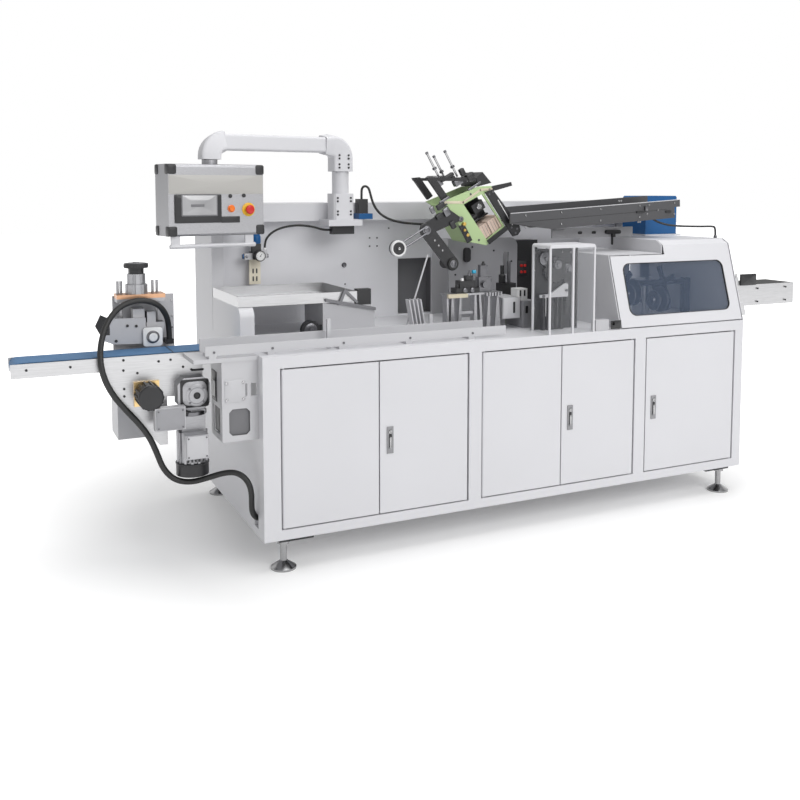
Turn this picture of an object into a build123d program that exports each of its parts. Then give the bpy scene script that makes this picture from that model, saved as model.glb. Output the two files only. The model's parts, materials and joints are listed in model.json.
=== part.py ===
from build123d import *
import os
from math import cos, pi, radians, sin, tan

# Tissue box packing machine. Millimetres, Z up, X to the right along the front, Y towards the rear.
# While it is drawn, X is 0 at the base cabinet's left end, Y is 0 at its front and Z is 0 on the floor.
# Last of all, everything is moved so that the origin is under the middle of the whole machine.

# Base cabinet
BASE_L = 2552.0
BASE_D = 1160.0
BASE_H = 760.0
FOOT_H = 135.0
SHEET = 4.0
TABLE_T = 6.0
FRAME_DEPTH = 40.0
END_POST_W = 73.0
MID_POST_W = 63.0
RIGHT_POST_W = 53.0
BAY_1_W = 871.0
BAY_2_W = 854.0
SILL_H = 42.0
HEAD_H = 50.0
BASE_BOTTOM = FOOT_H
TABLE_Z = FOOT_H + BASE_H

# Door leaves and their flush locks
LEAF_T = 20.0
LEAF_GAP = 6.0
LEAF_SKIN = 3.0
LEAF_RIM = 34.0
LEAF_EDGE_R = 8.0
PIVOT_D = 8.0
PIVOT_INSET = 10.0
PIVOT_DEPTH = 12.0
PIVOT_SIDES = 12
FIT_GAP = 0.08
LOCK_W = 30.0
LOCK_H = 116.0
LOCK_T = 4.0
LOCK_INSET = 46.0
LOCK_Z = 498.0
LOCK_SLOT = (12.0, 61.0)
KEY_D = 14.0
KEY_PROUD = 3.0
KEY_RISE = 22.0

# Levelling feet
FOOT_D = 106.0
FOOT_RIM = 8.0
FOOT_CONE_H = 34.0
FOOT_STEM_D = 28.0
FOOT_NUT_AF = 46.0
FOOT_NUT_H = 18.0
FOOT_INSET_X = 95.0
FOOT_INSET_Y = 50.0
FOOT_PLATE = (150.0, 80.0, 12.0)
FOOT_PLATE_LAP = 30.0

# Rear wall housing
REAR_Y = 810.0
REAR_H = 600.0
REAR_END_INSET = 82.0
REAR_POST_L = 57.0
REAR_POST_R = 40.0
REAR_WALL_Y = 900.0
BAND_H = 88.0
RECESS_X = (1013.0, 1208.0)
RECESS_H = (10.0, 303.0)
RECESS_DEPTH = 60.0
WALL_STRIP_W = 112.0
WALL_STRIP_T = 14.0
WALL_STRIP_H = 405.0
REAR_TOP = TABLE_Z + REAR_H
REAR_X1 = BASE_L - REAR_END_INSET

# Left guard, tray, ramp and gripper
GUARD_W = 64.0
GUARD_Y = (325.0, 806.0)
GUARD_H = 160.0
GUARD_R = 45.0
TRAY_L = 555.0
TRAY_Y = (355.0, 800.0)
TRAY_H = 46.0
TRAY_SHEET = 3.0
RAMP_X = (388.0, 640.0)
RAMP_Y = (352.0, 600.0)
RAMP_TOP = (160.0, 131.0)
KNOB_D = 84.0
KNOB_X = 330.0
KNOB_T = 26.0
KNOB_TAB = (10.0, 60.0)
GRIP_BAR = ((398.0, 180.0), (643.0, 129.0))
GRIP_BAR_H = 14.0
GRIP_BAR_T = 10.0
GRIP_TONGS = (((458, 150), (472, 150), (500, 216), (488, 218)), ((484, 212), (496, 218), (556, 160), (550, 150)))
GRIP_BOX = (558.0, 625.0, 130.0, 214.0)
GRIP_BOX_Y = (357.0, 397.0)

# Guide rails, fingers and posts along the front of the table
RAIL_X0 = -215.0
RAIL_ENDS = (1163.0, 1095.0)
RAIL_PLACES = (56.0, 150.0)
RAIL_HEIGHTS = (38.0, 56.0)
RAIL_T = 8.0
RAIL_LIFT = 12.0
RAIL_FOOT_W = 30.0
RAIL_FEET = (-200.0, 40.0, 350.0, 660.0, 970.0)
BRIDGE_X0 = -262.0
BRIDGE_T = 17.0
POST_W = 16.0
POSTS = ((320.0, 104.0, 125.0), (877.0, 250.0, 95.0))
FINGER_TOP = 166.0
FINGER_X = 767.0
FINGER_PITCH = 19.0
FINGER_LEAN = 30.0
FINGER_T = 6.0
FINGER_Y = (250.0, 290.0)
FINGER_COUNT = 4
STOP_ROD = ((764.0, 300.0), (888.0, 366.0))
STOP_ROD_D = 8.0

# Folding platform with its legs, and the folding head on it
PLATE_X = (964.0, 1258.0)
PLATE_Y = (246.0, 320.0)
PLATE_TOP = 182.0
PLATE_T = 9.0
PAD_X1 = 1063.0
PAD_T = 17.0
COMB_X0 = 1165.0
COMB_TEETH = 6
COMB_TOOTH = (8.0, 8.0, 12.0)
LEG_Y = (254.0, 296.0)
LEGS = (((964, 979), (964, 972)), ((982, 1010), (990, 998)), ((1021, 1042), (1034, 1042)), ((1110, 1128), (1112, 1122)),
        ((1146, 1160), (1136, 1146)), ((1176, 1198), (1188, 1196)), ((1222, 1256), (1236, 1244)))
LEG_TIE = (1036.0, 1116.0, 83.0, 97.0)
HEAD_BODY = ((1015, 1139, 0, 24), (1036, 1124, 24, 58), (1076, 1112, 58, 80))
VALVE_X = (1142.0, 1212.0)
VALVE_H = 72.0
VALVE_CAP = (1152.0, 1192.0, 128.0)
VALVE_BARREL_D = 34.0

# Boxes and plates behind the platform
DRIVE_BOX = (1268.0, 1366.0, 48.0, 150.0)
BEIGE_BOX = (1372.0, 1444.0, 0.0, 131.0)
SWITCH_BOX = (1348.0, 1404.0, 131.0, 190.0)
BOX_Y = (236.0, 400.0)
SWITCH_INSET = 16.0
SWITCH_DEPTH = 60.0
SWITCH_NECK_H = 20.0
CABINET_GAP = 14.0
INTERLOCK_GAP = 10.0
GEAR_BLOCK = (1412.0, 1495.0, 190.0)
GEAR_BLOCK_Y = (500.0, 560.0)
MECH_X0 = 1212.0
MECH_Y = 700.0
MECH_T = 12.0
MECH_H = 412.0
MECH_R = 45.0
MECH_SLOT = (88.0, 54.0, 218.0, 335.0)
CAM_W = 34.0
CAM_H = 74.0
CAM_T = 24.0
CAM_PLACE = (1312.0, 328.0)
CABINET_H = 395.0
CABINET_Y = (716.0, 796.0)

# Hood
HOOD_X0 = 1769.0
HOOD_H = 412.0
HOOD_LOW_L = 336.0
HOOD_LOW_H = 349.0
HOOD_SLOPE_Y = 117.0
HOOD_CHAMFER = (39.0, 23.0)
HOOD_SHEET = 4.0
LID_GAP = 6.0
WINDOW_T = 5.0
WINDOW_MARGIN = (62.0, 60.0)
WINDOW_DROP = 26.0
WINDOW_R = 40.0
WINDOW_LIP = 12.0
HINGE_BARREL_D = 16.0
HINGE_PIN_D = 8.0
HINGE_STUB = 60.0
STEP_X = HOOD_X0 + HOOD_LOW_L
HOOD_TOP = TABLE_Z + HOOD_H

# Folding rotor inside the hood
ROTOR_Y = 360.0
ROTOR_H = 172.0
ROTOR_SHAFT_D = 30.0
ROTOR_END_GAPS = (70.0, 83.0)
ROTOR_LEFT_STARS = (60.0, 140.0, 220.0)
ROTOR_RIGHT_STARS = (140.0,)
STAR_TURN = 22.0
STAR_ARMS = 4
STAR_R = (92.0, 34.0)
STAR_T = 10.0
STAND_W = 36.0

# Clear guard box beside the hood
BOX_GAP = 152.0
BOX_L = 256.0
BOX_D = 150.0
BOX_H = 415.0
BOX_POST = 9.0
BOX_TOP_T = 16.0
BOX_R = 34.0
PANE_T = 3.0
GEAR_D = 128.0
GEAR_TEETH = 16
GEAR_T = 16.0
GEAR_PLACE = (4.0, 130.0)
PINION_SHIFT = (78.0, 40.0)
BACK_GAP = 12.0
BACK_T = 10.0
BACK_DROP = 30.0
CAM_PLATE = ((40, 155), (200, 155), (200, 216), (182, 220), (140, 196), (100, 172), (40, 169))
CAM_PLATE_T = 8.0
CAM_STUD = (180.0, 200.0, 155.0, 180.0)
CAM_FIN = ((-3, 0), (9, 0), (4, 155), (0, 155))
CAM_FIN_PLACES = (56.0, 82.0, 108.0, 134.0, 160.0)
CAM_FIN_DEPTH = 24.0
INTERLOCK = (76.0, 38.0, 52.0)

# Operator panel on its arm
COLUMN = (627.0, 740.0)
FLANGE = (176.0, 140.0, 30.0)
FLANGE_DROP = 110.0
SOCKET_W = 104.0
SOCKET_H = 127.0
TUBE_W = 82.0
TUBE_H = 107.0
ARM_T = 74.0
ARM_RISE = 127.0
ELBOW_W = 107.0
ELBOW_L = 100.0
CASTING_LIP = 7.0
PENDANT = (-44.0, 638.0)
HEAD_W = 112.0
PANEL_W = 450.0
PANEL_H = 317.0
PANEL_D = 160.0
PANEL_DROP = 138.0
PANEL_EDGE_R = 14.0
PANEL_TURN = 9.0
NECK_D = 70.0
NECK_H = 22.0
SWIVEL_GAP = 0.3
SCREEN = (-205.0, 5.0, 55.0, 191.0)
SCREEN_T = 6.0
BUTTON = (66.0, 120.0, 25.0, 14.0)
STOP_BUTTON = (150.0, 115.0, 42.0, 26.0)
HANDLE_D = 20.0
HANDLE_X = (-215.0, 190.0)
HANDLE_DROP = 45.0
HANDLE_LUGS = (-190.0, 160.0)
FLANGE_Z = REAR_TOP - FLANGE_DROP
ELBOW_Z0 = FLANGE_Z + FLANGE[2] + SOCKET_H + TUBE_H
ARM_Z = ELBOW_Z0 + ARM_RISE
PANEL_Z = REAR_TOP - PANEL_DROP
JUNCTION = (722.0, 770.0, 730.0, 780.0)
JUNCTION_BASE_X1 = 796.0
JUNCTION_BASE_H = 28.0
JUNCTION_H = 72.0
PLUG = (577.0, 691.0, 42.0, 44.0)

# Air regulator on the rear wall
REG_X = 222.0
REG_Y = 830.0
REG_DROP = 270.0
REG_BODY = (38.0, 46.0, 76.0)
REG_KNOB = (42.0, 46.0)
GAUGE = (50.0, 26.0, 18.0)
REG_PORTS = (60.0, 52.0, 30.0)
REG_PLATE = (56.0, 6.0, 124.0)
REG_ARM = (18.0, 30.0, 10.0)

# Left conveyor
CONV_X0 = -917.0
CONV_Y = (250.0, 420.0)
BELT_LIFT = 5.0
BELT_T = 3.0
ROLLER_D = 50.0
SIDE_T = 4.0
SIDE_H = 56.0
SIDE_DROP = 3.0
SIDE_WIDE = ((-575, 0), (-545, 91), (-511, 154), (-361, 319), (-330, 319), (-330, 121), (-183, 121), (-183, 0))
ROLLER_INSET = 30.0
BELT_TOP = TABLE_Z + BELT_LIFT
SIDE_TOP = BELT_TOP - SIDE_DROP
SIDE_LOW = SIDE_TOP - SIDE_H
LEG_BOX = (-501.0, -330.0, 176.0, 326.0)

# Gear motors under the conveyor
MOTOR_Y = 246.0
FLANGE_PLATE = (-412.0, 153.0, 100.0, 10.0)
SMALL_MOTOR = (104.0, 96.0)
GEARBOX = (-300.0, -168.0, 92.0, 224.0)
GEARBOX_T = 66.0
GEARBOX_CUT = 26.0
BOSS = (-224.0, 166.0, 62.0, 26.0, 8.0)
NECK_BLOCK = (94.0, 80.0, 90.0)
BIG_MOTOR = (126.0, 130.0)
BIG_MOTOR_X = -240.0
COWL_H = 50.0
COWL_D = 132.0
MOTOR_FINS = 14
FIN_DEPTH = 6.0
TERMINAL_BOXES = ((-398.0, -278.0, 198.0, 290.0, 140.0), (-288.0, -196.0, 310.0, 408.0, 100.0))
MOTOR_BOX_T = 42.0

# Sheet bracket between the conveyor and the base
BRACKET_L = 150.0
BRACKET_Y = (60.0, 236.0)
BRACKET_Z = (17.0, 343.0)
BRACKET_SLOTS = ((-133.0, -115.0), (-66.0, -46.0), (-31.0, -8.0))
SLOT_Z = (110.0, 162.0)
BRACKET_WINDOW = (-122.0, -36.0, 211.0, 319.0)
BRACKET_R = 14.0
SIDE_WINDOW_Y = (96.0, 200.0)

# Outfeed
OUTFEED_L = 623.0
OUTFEED_Y = (250.0, 450.0)
OUTFEED_H = (30.0, 145.0)
OUTFEED_BELT_T = 18.0
OUTFEED_BRACKET = ((185, 210), (193, 210), (268, -20), (185, -20))

# Carton chute
CHUTE_TILT = 3.4
CHUTE_Y = (330.0, 530.0)
CHUTE_END_GAP = 62.0
CHUTE_START = (348.0, 59.0)
CHUTE_SIDE_T = 12.0
CHUTE_SIDE_H = 95.0
CHUTE_BED = (200.0, 60.0, 48.0)
CHUTE_FAR_RISE = 22.0
CHUTE_FAR_CUT = 60.0
CHUTE_CUTS = (38.0, 240.0, 50.0, 70.0)
CHUTE_RAIL = (10.0, 40.0, 6.0, 50.0)
CHUTE_BRACKET_X0 = 1600.0
CHUTE_BRACKET_END_GAP = 170.0
CHUTE_BRACKET_W = 40.0
CHUTE_BRACKET_Z = (75.0, 45.0)
BEAM_ENDS = (-44.0, 303.0)
BEAM_H = 53.0
BEAM_Y = (518.0, 530.0)
GLUE_BOX = (179.0, 38.0, 213.0)
GLUE_Y = (560.0, 760.0)
GLUE_CHAMFER = 8.0
SHELF_LIP = 20.0
SHELF_T = 6.0

# Magazine head. Its own axes run down the slope and across it, from its top left corner.
MAG_X = 1002.0
MAG_RISE = 10.0
MAG_SLOPE = 60.0
MAG_Y = (375.0, 549.0)
MAG_PLATE_T = 8.0
MAG_SIDE = ((0, -5), (36, 205), (70, 270), (90, 262), (84, 218), (300, 240), (306, 103), (242, 30), (33, 15))
MAG_WINDOW = ((70, 92), (78, 205), (272, 230), (284, 118))
MAG_BACK = ((33, 15), (242, 30), (242, 40), (33, 25))
RIB_PANEL = (70.0, 200.0, 40.0, 222.0)
RIB_COUNT = 3
RIB_SIZE = (7.0, 26.0)
CARTON_DOWN = (212.0, 279.0)
CARTON_ACROSS = (114.0, 232.0)
CARTON_COUNT = 7
SIDE_ARM = ((76, 220), (86, 262), (318, 307), (342, 300), (352, 276), (344, 250))
SIDE_ARM_T = 12.0
SIDE_ARM_SLOT = ((146, 256), (290, 273), (290, 279), (146, 262))
CARTON_FLOOR = ((286, 116), (279, 240), (300, 244), (308, 118))
TOP_BEAM = ((-138, -13), (-6, 214), (6, 208), (-122, -13))
TOP_POST = ((-138, -13), (-5, 6), (-8, 38), (-122, 22))
TOP_BLOCK = ((-6, 214), (-13, 260), (57, 277), (36, 207))
TOP_PLATE = ((-46, 152), (-10, 214), (-2, 210), (-34, 146))
BEAM_T = 20.0
SPINDLES = ((-229.0, -102.0, 62.0, 420.0), (-185.0, -74.0, 110.0, 470.0), (-184.0, -46.0, 160.0, 440.0))
SPINDLE_D = 11.0
CROSS_BAR = 16.0
FEELER = ((72, 262), (79, 289), (112, 381), (130, 377), (107, 296), (96, 262))
ACTUATOR = (150.0, 240.0, 16.0, 44.0)
HEAD_MOTOR = (104.0, 150.0, 134.0, 200.0)
HEAD_MOTOR_GAP = 12.0
MAG_ARM = (188.0, 35.0, 125.0, 25.0)
MAG_Z = REAR_TOP + MAG_RISE

# Picker in front of the magazine head
PIVOT = (-97.0, -133.0)
PICKER_Y = 345.0
PICKER_T = 12.0
PICKER_SHIFT = (137.0, -162.0)
PICKER_BOSS_D = 66.0
PICKER_PIN_D = 16.0
PICKER_CAP_T = 10.0
PAD_ROLLER_D = 54.0
PAD_ROLLER_L = 70.0
WHEEL_SHIFT = (-150.0, -81.0)
WHEEL_D = 74.0
WHEEL_T = 18.0
WHEEL_FACE = 12.0
ROD_D = 9.0
ROD_SPREAD = 16.0
ROD_LAP = 6.0
PICKER_BRACKET = ((-20, -22), (22, -22), (205, 48), (125, 98), (-20, 22))
BRACKET_GAP = 6.0
PICKER_DRIVE = ((22.0, -10.0), (96.0, 34.0))
DRIVE_D = 44.0

# Marking unit on the conveyor, with its hand wheel
MARK_X = (-501.0, -245.0)
MARK_Y = (426.0, 500.0)
MARK_PLATE_T = 10.0
MARK_PLATE_H = 219.0
DECK_X = (-495.0, -297.0)
DECK_Z = (200.0, 231.0)
DECK_LIP = 16.0
CHEEKS = ((-524, 133), (-377, 129), (-378, 92), (-304, 88), (-311, 18), (-510, 25), (-552, 43), (-546, 83))
CHEEK_T = 10.0
FOOT_BAR = (-512.0, -327.0, 4.0, 24.0)
MARK_STOP = ((-582, 105), (-560, 151), (-524, 133), (-546, 83), (-562, 66))
BEARING = (-352.0, 49.0, 74.0, 38.0, 12.0)
CROSS_BLOCKS = ((-373.0, -299.0, 80.0, 108.0), (-370.0, -334.0, 108.0, 153.0), (-428.0, -380.0, 116.0, 167.0))
WHEEL_AXIS = (-408.0, 455.0)
COLLARS = ((92.0, 40.0), (76.0, 44.0))
COLLAR_FLUTES = (8, 8)
FLUTE_DEPTH = 4.0
WHEEL_SHAFT_D = 20.0
HAND_WHEEL = (98.0, 19.0)
HAND_NECK = (64.0, 24.0)
MARK_POSTS_X = (-484.0, -470.0, -340.0, -322.0)
MARK_POST_D = 12.0
MARK_POST_H = 54.0
MARK_COLUMNS = ((-471.0, 44.0), (-326.0, 108.0))

# Hoses and cables: routes from end to end, heights counted as each list says
MAIN_HOSE_D = 24.0
GLAND = (-292.0, -260.0, 436.0, 10.0, 30.0)
HOSE_POCKET = (26.0, 84.0, 142.0, 166.0, 232.0)
HOSE_OVER_TABLE = ((-276, 452, 30), (-276, 452, 80), (-290, 426, 135), (-326, 396, 185), (-384, 382, 210),
                   (-448, 377, 207), (-505, 362, 180), (-549, 325, 130), (-580, 270, 67), (-592, 224, -2),
                   (-580, 211, -73), (-549, 211, -140))
HOSE_OVER_FLOOR = ((-503, 211, 692), (-452, 208, 632), (-410, 205, 570), (-383, 204, 502), (-361, 201, 436),
                   (-318, 194, 385), (-256, 181, 370), (-192, 159, 386), (-134, 130, 408), (-90, 102, 414),
                   (-58, 80, 396), (-40, 66, 364), (-34, 60, 326), (-33, 66, 288), (-27, 84, 250),
                   (-14, 100, 222), (4, 110, 204), (26, 110, 204))
COLUMN_HOSE_D = 12.0
COLUMN_HOSE = ((746, 755, 20), (746, 755, 45), (746, 753, 70), (755, 749, 83), (769, 744, 83), (779, 739, 72),
               (783, 731, 48), (790, 724, 12), (801, 718, -18), (820, 712, -47), (850, 706, -70), (890, 702, -87),
               (936, 700, -98), (988, 699, -104), (1040, 700, -108), (1092, 701, -110), (1144, 700, -112),
               (1190, 700, -112))
AIR_CABLE_D = 11.0
AIR_CABLE = ((266, 830, -224), (266, 830, -195), (278, 829, -165), (302, 827, -142), (336, 823, -124),
             (378, 817, -113), (424, 808, -108), (468, 794, -110), (506, 775, -118), (532, 755, -128),
             (555, 745, -131), (577, 745, -131))

NODES = {}


def keep(name, *shapes):
    NODES[name] = [solid for shape in shapes for solid in shape.solids()]


def block(x0, x1, y0, y1, z0, z1):
    return Pos(x0, y0, z0) * Box(x1 - x0, y1 - y0, z1 - z0, align=(Align.MIN, Align.MIN, Align.MIN))


def on_table(x0, x1, y0, y1, rise_0, rise_1):
    """A block whose heights are counted from the table's top."""
    return block(x0, x1, y0, y1, TABLE_Z + rise_0, TABLE_Z + rise_1)


def rod(start, end, diameter):
    a, b = Vector(*start), Vector(*end)
    place = Plane(origin=a, z_dir=(b - a).normalized())
    return place * Cylinder(diameter / 2, (b - a).length, align=(Align.CENTER, Align.CENTER, Align.MIN))


def bar(start, end, diameter, sides=8):
    """A thin many-sided bar, pin or stem between two points."""
    a, b = Vector(*start), Vector(*end)
    place = Plane(origin=a, z_dir=(b - a).normalized())
    return place * extrude(RegularPolygon(diameter / 2, sides), (b - a).length)


def slab_xz(points, y0, y1, lift=0.0):
    """A plate with its outline in X and Z, and its thickness along Y."""
    face = make_face(Polyline(*[(x, y0, z + lift) for x, z in points], close=True))
    return extrude(face, amount=y1 - y0, dir=(0, 1, 0))


def slab_yz(points, x0, x1):
    """A plate with its outline in Y and Z, and its thickness along X."""
    face = make_face(Polyline(*[(x0, y, z) for y, z in points], close=True))
    return extrude(face, amount=x1 - x0, dir=(1, 0, 0))


def edges_along(solid, axis):
    return solid.edges().filter_by(axis)


def star(outer, inner, arms, tip=0.34, root=0.5):
    """Corners of a wheel with square-ended arms or teeth, as a closed outline about the origin."""
    points = []
    step = 2 * pi / arms
    for arm in range(arms):
        middle = arm * step
        for offset, radius in ((-root, inner), (-tip, outer), (tip, outer), (root, inner)):
            angle = middle + offset * step * 0.98 / 2
            points.append((radius * cos(angle), radius * sin(angle)))
    return points


def star_solid(outer, inner, arms, length, tip=0.34, root=0.5):
    face = make_face(Polyline(*star(outer, inner, arms, tip, root), close=True))
    return extrude(face, amount=length)


# Base cabinet
bay_1 = (END_POST_W, END_POST_W + BAY_1_W)
bay_2 = (bay_1[1] + MID_POST_W, bay_1[1] + MID_POST_W + BAY_2_W)
bay_3 = (bay_2[1] + MID_POST_W, BASE_L - RIGHT_POST_W)
door_z = (BASE_BOTTOM + SILL_H, TABLE_Z - HEAD_H)


def make_base():
    keep("base_floor", block(SHEET, BASE_L - SHEET, FRAME_DEPTH, BASE_D - SHEET,
                             BASE_BOTTOM, BASE_BOTTOM + SHEET))
    under_table = TABLE_Z - TABLE_T
    depth, y0, y1, z0, z1 = HOSE_POCKET
    left_end = block(0, SHEET, 0, BASE_D, BASE_BOTTOM, under_table)
    left_end += block(0, depth + SHEET, y0 - SHEET, y1 + SHEET, z0 - SHEET, z1 + SHEET)
    left_end -= block(0, depth, y0, y1, z0, z1)
    keep("base_ends", left_end, block(BASE_L - SHEET, BASE_L, 0, BASE_D, BASE_BOTTOM, under_table))
    rear_inner = (REAR_POST_L, REAR_X1 - REAR_POST_R)
    keep("back_panels", block(SHEET, BASE_L - SHEET, BASE_D - SHEET, BASE_D, BASE_BOTTOM, under_table),
         block(*rear_inner, BASE_D - SHEET, BASE_D, TABLE_Z, REAR_TOP))
    post_spans = [(SHEET, bay_1[0]), (bay_1[1], bay_2[0]), (bay_2[1], bay_3[0]), (bay_3[1], BASE_L - SHEET)]
    keep("base_front_posts", *[block(x0, x1, 0, FRAME_DEPTH, *door_z) for x0, x1 in post_spans])
    keep("table_top", block(0, BASE_L, 0, BASE_D, TABLE_Z - TABLE_T, TABLE_Z))


def make_leaf(x0, x1, hinge_right):
    """A folded sheet door leaf: a flat front with a thick rim behind it, and a pivot hole at its top
    and bottom near the hinged edge, whose front corner is rounded."""
    z0, z1 = door_z[0] + LEAF_GAP, door_z[1] - LEAF_GAP
    leaf = block(x0, x1, 0, LEAF_T, z0, z1)
    hinge_x = x1 if hinge_right else x0
    corner = edges_along(leaf, Axis.Z).filter_by_position(Axis.X, hinge_x - 1, hinge_x + 1)
    leaf = fillet(corner.filter_by_position(Axis.Y, -1, 1), LEAF_EDGE_R)
    leaf -= block(x0 + LEAF_RIM, x1 - LEAF_RIM, LEAF_SKIN, LEAF_T, z0 + LEAF_RIM, z1 - LEAF_RIM)
    axis_x = hinge_x - PIVOT_INSET if hinge_right else hinge_x + PIVOT_INSET
    hole_d = (PIVOT_D + 2 * FIT_GAP) / cos(pi / PIVOT_SIDES)
    for z_from, z_to in ((z0, z0 + PIVOT_DEPTH + 1), (z1 - PIVOT_DEPTH - 1, z1)):
        leaf -= bar((axis_x, PIVOT_INSET, z_from), (axis_x, PIVOT_INSET, z_to), hole_d, PIVOT_SIDES)
    return leaf, axis_x


def make_lock(x):
    """A flush pull lock: a thin plate with a finger slot and a round key barrel."""
    z0, z1 = LOCK_Z - LOCK_H / 2, LOCK_Z + LOCK_H / 2
    slot_w, slot_h = LOCK_SLOT
    plate = block(x - LOCK_W / 2, x + LOCK_W / 2, -LOCK_T, 0, z0, z1)
    plate -= block(x - slot_w / 2, x + slot_w / 2, -LOCK_T, -LOCK_T / 2, z1 - LOCK_T * 2 - slot_h, z1 - LOCK_T * 2)
    key_z = z0 + KEY_RISE
    return plate + rod((x, -LOCK_T - KEY_PROUD, key_z), (x, -LOCK_T / 2, key_z), KEY_D)


def make_doors():
    split_1 = 0.5 * (bay_1[0] + bay_1[1])
    split_2 = 0.5 * (bay_2[0] + bay_2[1])
    half = LEAF_GAP / 2
    spans = [
        (bay_1[0] + LEAF_GAP, split_1 - half, False),
        (split_1 + half, bay_1[1] - LEAF_GAP, True),
        (bay_2[0] + LEAF_GAP, split_2 - half, False),
        (split_2 + half, bay_2[1] - LEAF_GAP, True),
        (bay_3[0] + LEAF_GAP, bay_3[1] - LEAF_GAP, True),
    ]
    sill = block(SHEET, BASE_L - SHEET, 0, FRAME_DEPTH, BASE_BOTTOM, door_z[0])
    head = block(SHEET, BASE_L - SHEET, 0, FRAME_DEPTH, door_z[1], TABLE_Z - TABLE_T)
    reach = LEAF_GAP + PIVOT_DEPTH
    for number, (x0, x1, hinge_right) in enumerate(spans, start=1):
        leaf, axis_x = make_leaf(x0, x1, hinge_right)
        if hinge_right:
            leaf += make_lock(x0 + LOCK_INSET)
        keep(f"door_{number}", leaf)
        low_pin = [(axis_x, PIVOT_INSET, z) for z in (door_z[0], door_z[0] + reach)]
        high_pin = [(axis_x, PIVOT_INSET, z) for z in (door_z[1] - reach, door_z[1])]
        sill += bar(*low_pin, PIVOT_D, PIVOT_SIDES)
        head += bar(*high_pin, PIVOT_D, PIVOT_SIDES)
    keep("base_front_rails", sill, head)


def make_feet():
    """Levelling feet: a dished disc, a threaded stem and a hexagon nut under a dark foot plate."""
    feet = []
    long, wide, thick = FOOT_PLATE
    r, stem = FOOT_D / 2, FOOT_STEM_D / 2
    top = BASE_BOTTOM - thick
    profile = [(0, 0), (r, 0), (r, FOOT_RIM), (stem, FOOT_CONE_H), (0, FOOT_CONE_H)]
    face = make_face(Polyline(*[(px, 0, pz) for px, pz in profile], close=True))
    nut = Pos(0, 0, top - FOOT_NUT_H) * extrude(RegularPolygon(FOOT_NUT_AF / 2, 6, major_radius=False), FOOT_NUT_H)
    foot = revolve(face, axis=Axis.Z) + bar((0, 0, FOOT_CONE_H), (0, 0, top), FOOT_STEM_D, 12) + nut
    for x in (FOOT_INSET_X, BASE_L - FOOT_INSET_X):
        for y in (FOOT_INSET_Y, BASE_D - FOOT_INSET_Y):
            side = -1 if x > BASE_L / 2 else 1
            ends = sorted((x - side * FOOT_PLATE_LAP, x + side * (long - FOOT_PLATE_LAP)))
            feet.append(Pos(x, y, 0) * foot + block(*ends, y - wide / 2, y + wide / 2, top, BASE_BOTTOM))
    keep("levelling_feet", *feet)


# Rear wall housing
def make_rear():
    column_spans = [(0, REAR_POST_L), (REAR_X1 - REAR_POST_R, REAR_X1)]
    keep("rear_columns", *[block(x0, x1, REAR_Y, BASE_D, TABLE_Z, REAR_TOP) for x0, x1 in column_spans])
    inner = (REAR_POST_L, REAR_X1 - REAR_POST_R)
    recess_z = (TABLE_Z + RECESS_H[0], TABLE_Z + RECESS_H[1])
    wall = block(*inner, REAR_WALL_Y, REAR_WALL_Y + SHEET, TABLE_Z, REAR_TOP - SHEET)
    wall -= block(*RECESS_X, REAR_WALL_Y - 1, REAR_WALL_Y + SHEET + 1, *recess_z)
    strip_x = RECESS_X[1]
    wall += on_table(strip_x, strip_x + WALL_STRIP_W, REAR_WALL_Y - WALL_STRIP_T, REAR_WALL_Y, 0, WALL_STRIP_H)
    back = REAR_WALL_Y + RECESS_DEPTH
    box = block(RECESS_X[0] - SHEET, RECESS_X[1] + SHEET, REAR_WALL_Y + SHEET, back,
                recess_z[0] - SHEET, recess_z[1] + SHEET)
    keep("rear_wall", wall + (box - block(*RECESS_X, REAR_WALL_Y, back - SHEET, *recess_z)))
    band = block(*inner, REAR_Y, REAR_WALL_Y, REAR_TOP - BAND_H, REAR_TOP)
    keep("rear_top_cover", band + block(*inner, REAR_WALL_Y, BASE_D - SHEET, REAR_TOP - SHEET, REAR_TOP))


# Left guard, tray, ramp and gripper
def make_left_end():
    guard = on_table(0, GUARD_W, *GUARD_Y, 0, GUARD_H)
    front_top = edges_along(guard, Axis.X).filter_by_position(Axis.Y, GUARD_Y[0] - 1, GUARD_Y[0] + 1)
    keep("left_guard", fillet(front_top.sort_by(Axis.Z)[-1], GUARD_R))
    tray_z = TABLE_Z + GUARD_H
    t = TRAY_SHEET
    tray = block(0, TRAY_L, *TRAY_Y, tray_z, tray_z + TRAY_H)
    tray -= block(t, TRAY_L - t, TRAY_Y[0] + t, TRAY_Y[1] - t, tray_z + t, tray_z + TRAY_H)
    keep("stainless_tray", tray)
    x0, x1 = RAMP_X
    left_h, right_h = RAMP_TOP
    ramp = slab_xz([(x0, 0), (x1, 0), (x1, right_h), (x0, left_h)], *RAMP_Y, TABLE_Z)
    knob_z = TABLE_Z + KNOB_D / 2
    knob = rod((KNOB_X, RAMP_Y[0], knob_z), (KNOB_X, RAMP_Y[0] + KNOB_T, knob_z), KNOB_D)
    ramp += knob + on_table(KNOB_X, x0, RAMP_Y[0] + KNOB_T / 2, RAMP_Y[0] + KNOB_T, *KNOB_TAB)
    keep("ramp_box", ramp + make_gripper())


def make_gripper():
    """The gripper on the ramp's front: a thin sloping bar, two crossed tongs and a cylinder block."""
    (xa, za), (xb, zb) = GRIP_BAR
    y0, y1 = RAMP_Y[0] - GRIP_BAR_T, RAMP_Y[0]
    gripper = slab_xz([(xa, za - GRIP_BAR_H), (xb, zb - GRIP_BAR_H), (xb, zb), (xa, za)], y0, y1, TABLE_Z)
    for tong in GRIP_TONGS:
        gripper += slab_xz(tong, y0, y1, TABLE_Z)
    gx0, gx1, low, high = GRIP_BOX
    return gripper + on_table(gx0, gx1, *GRIP_BOX_Y, low, high)


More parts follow.
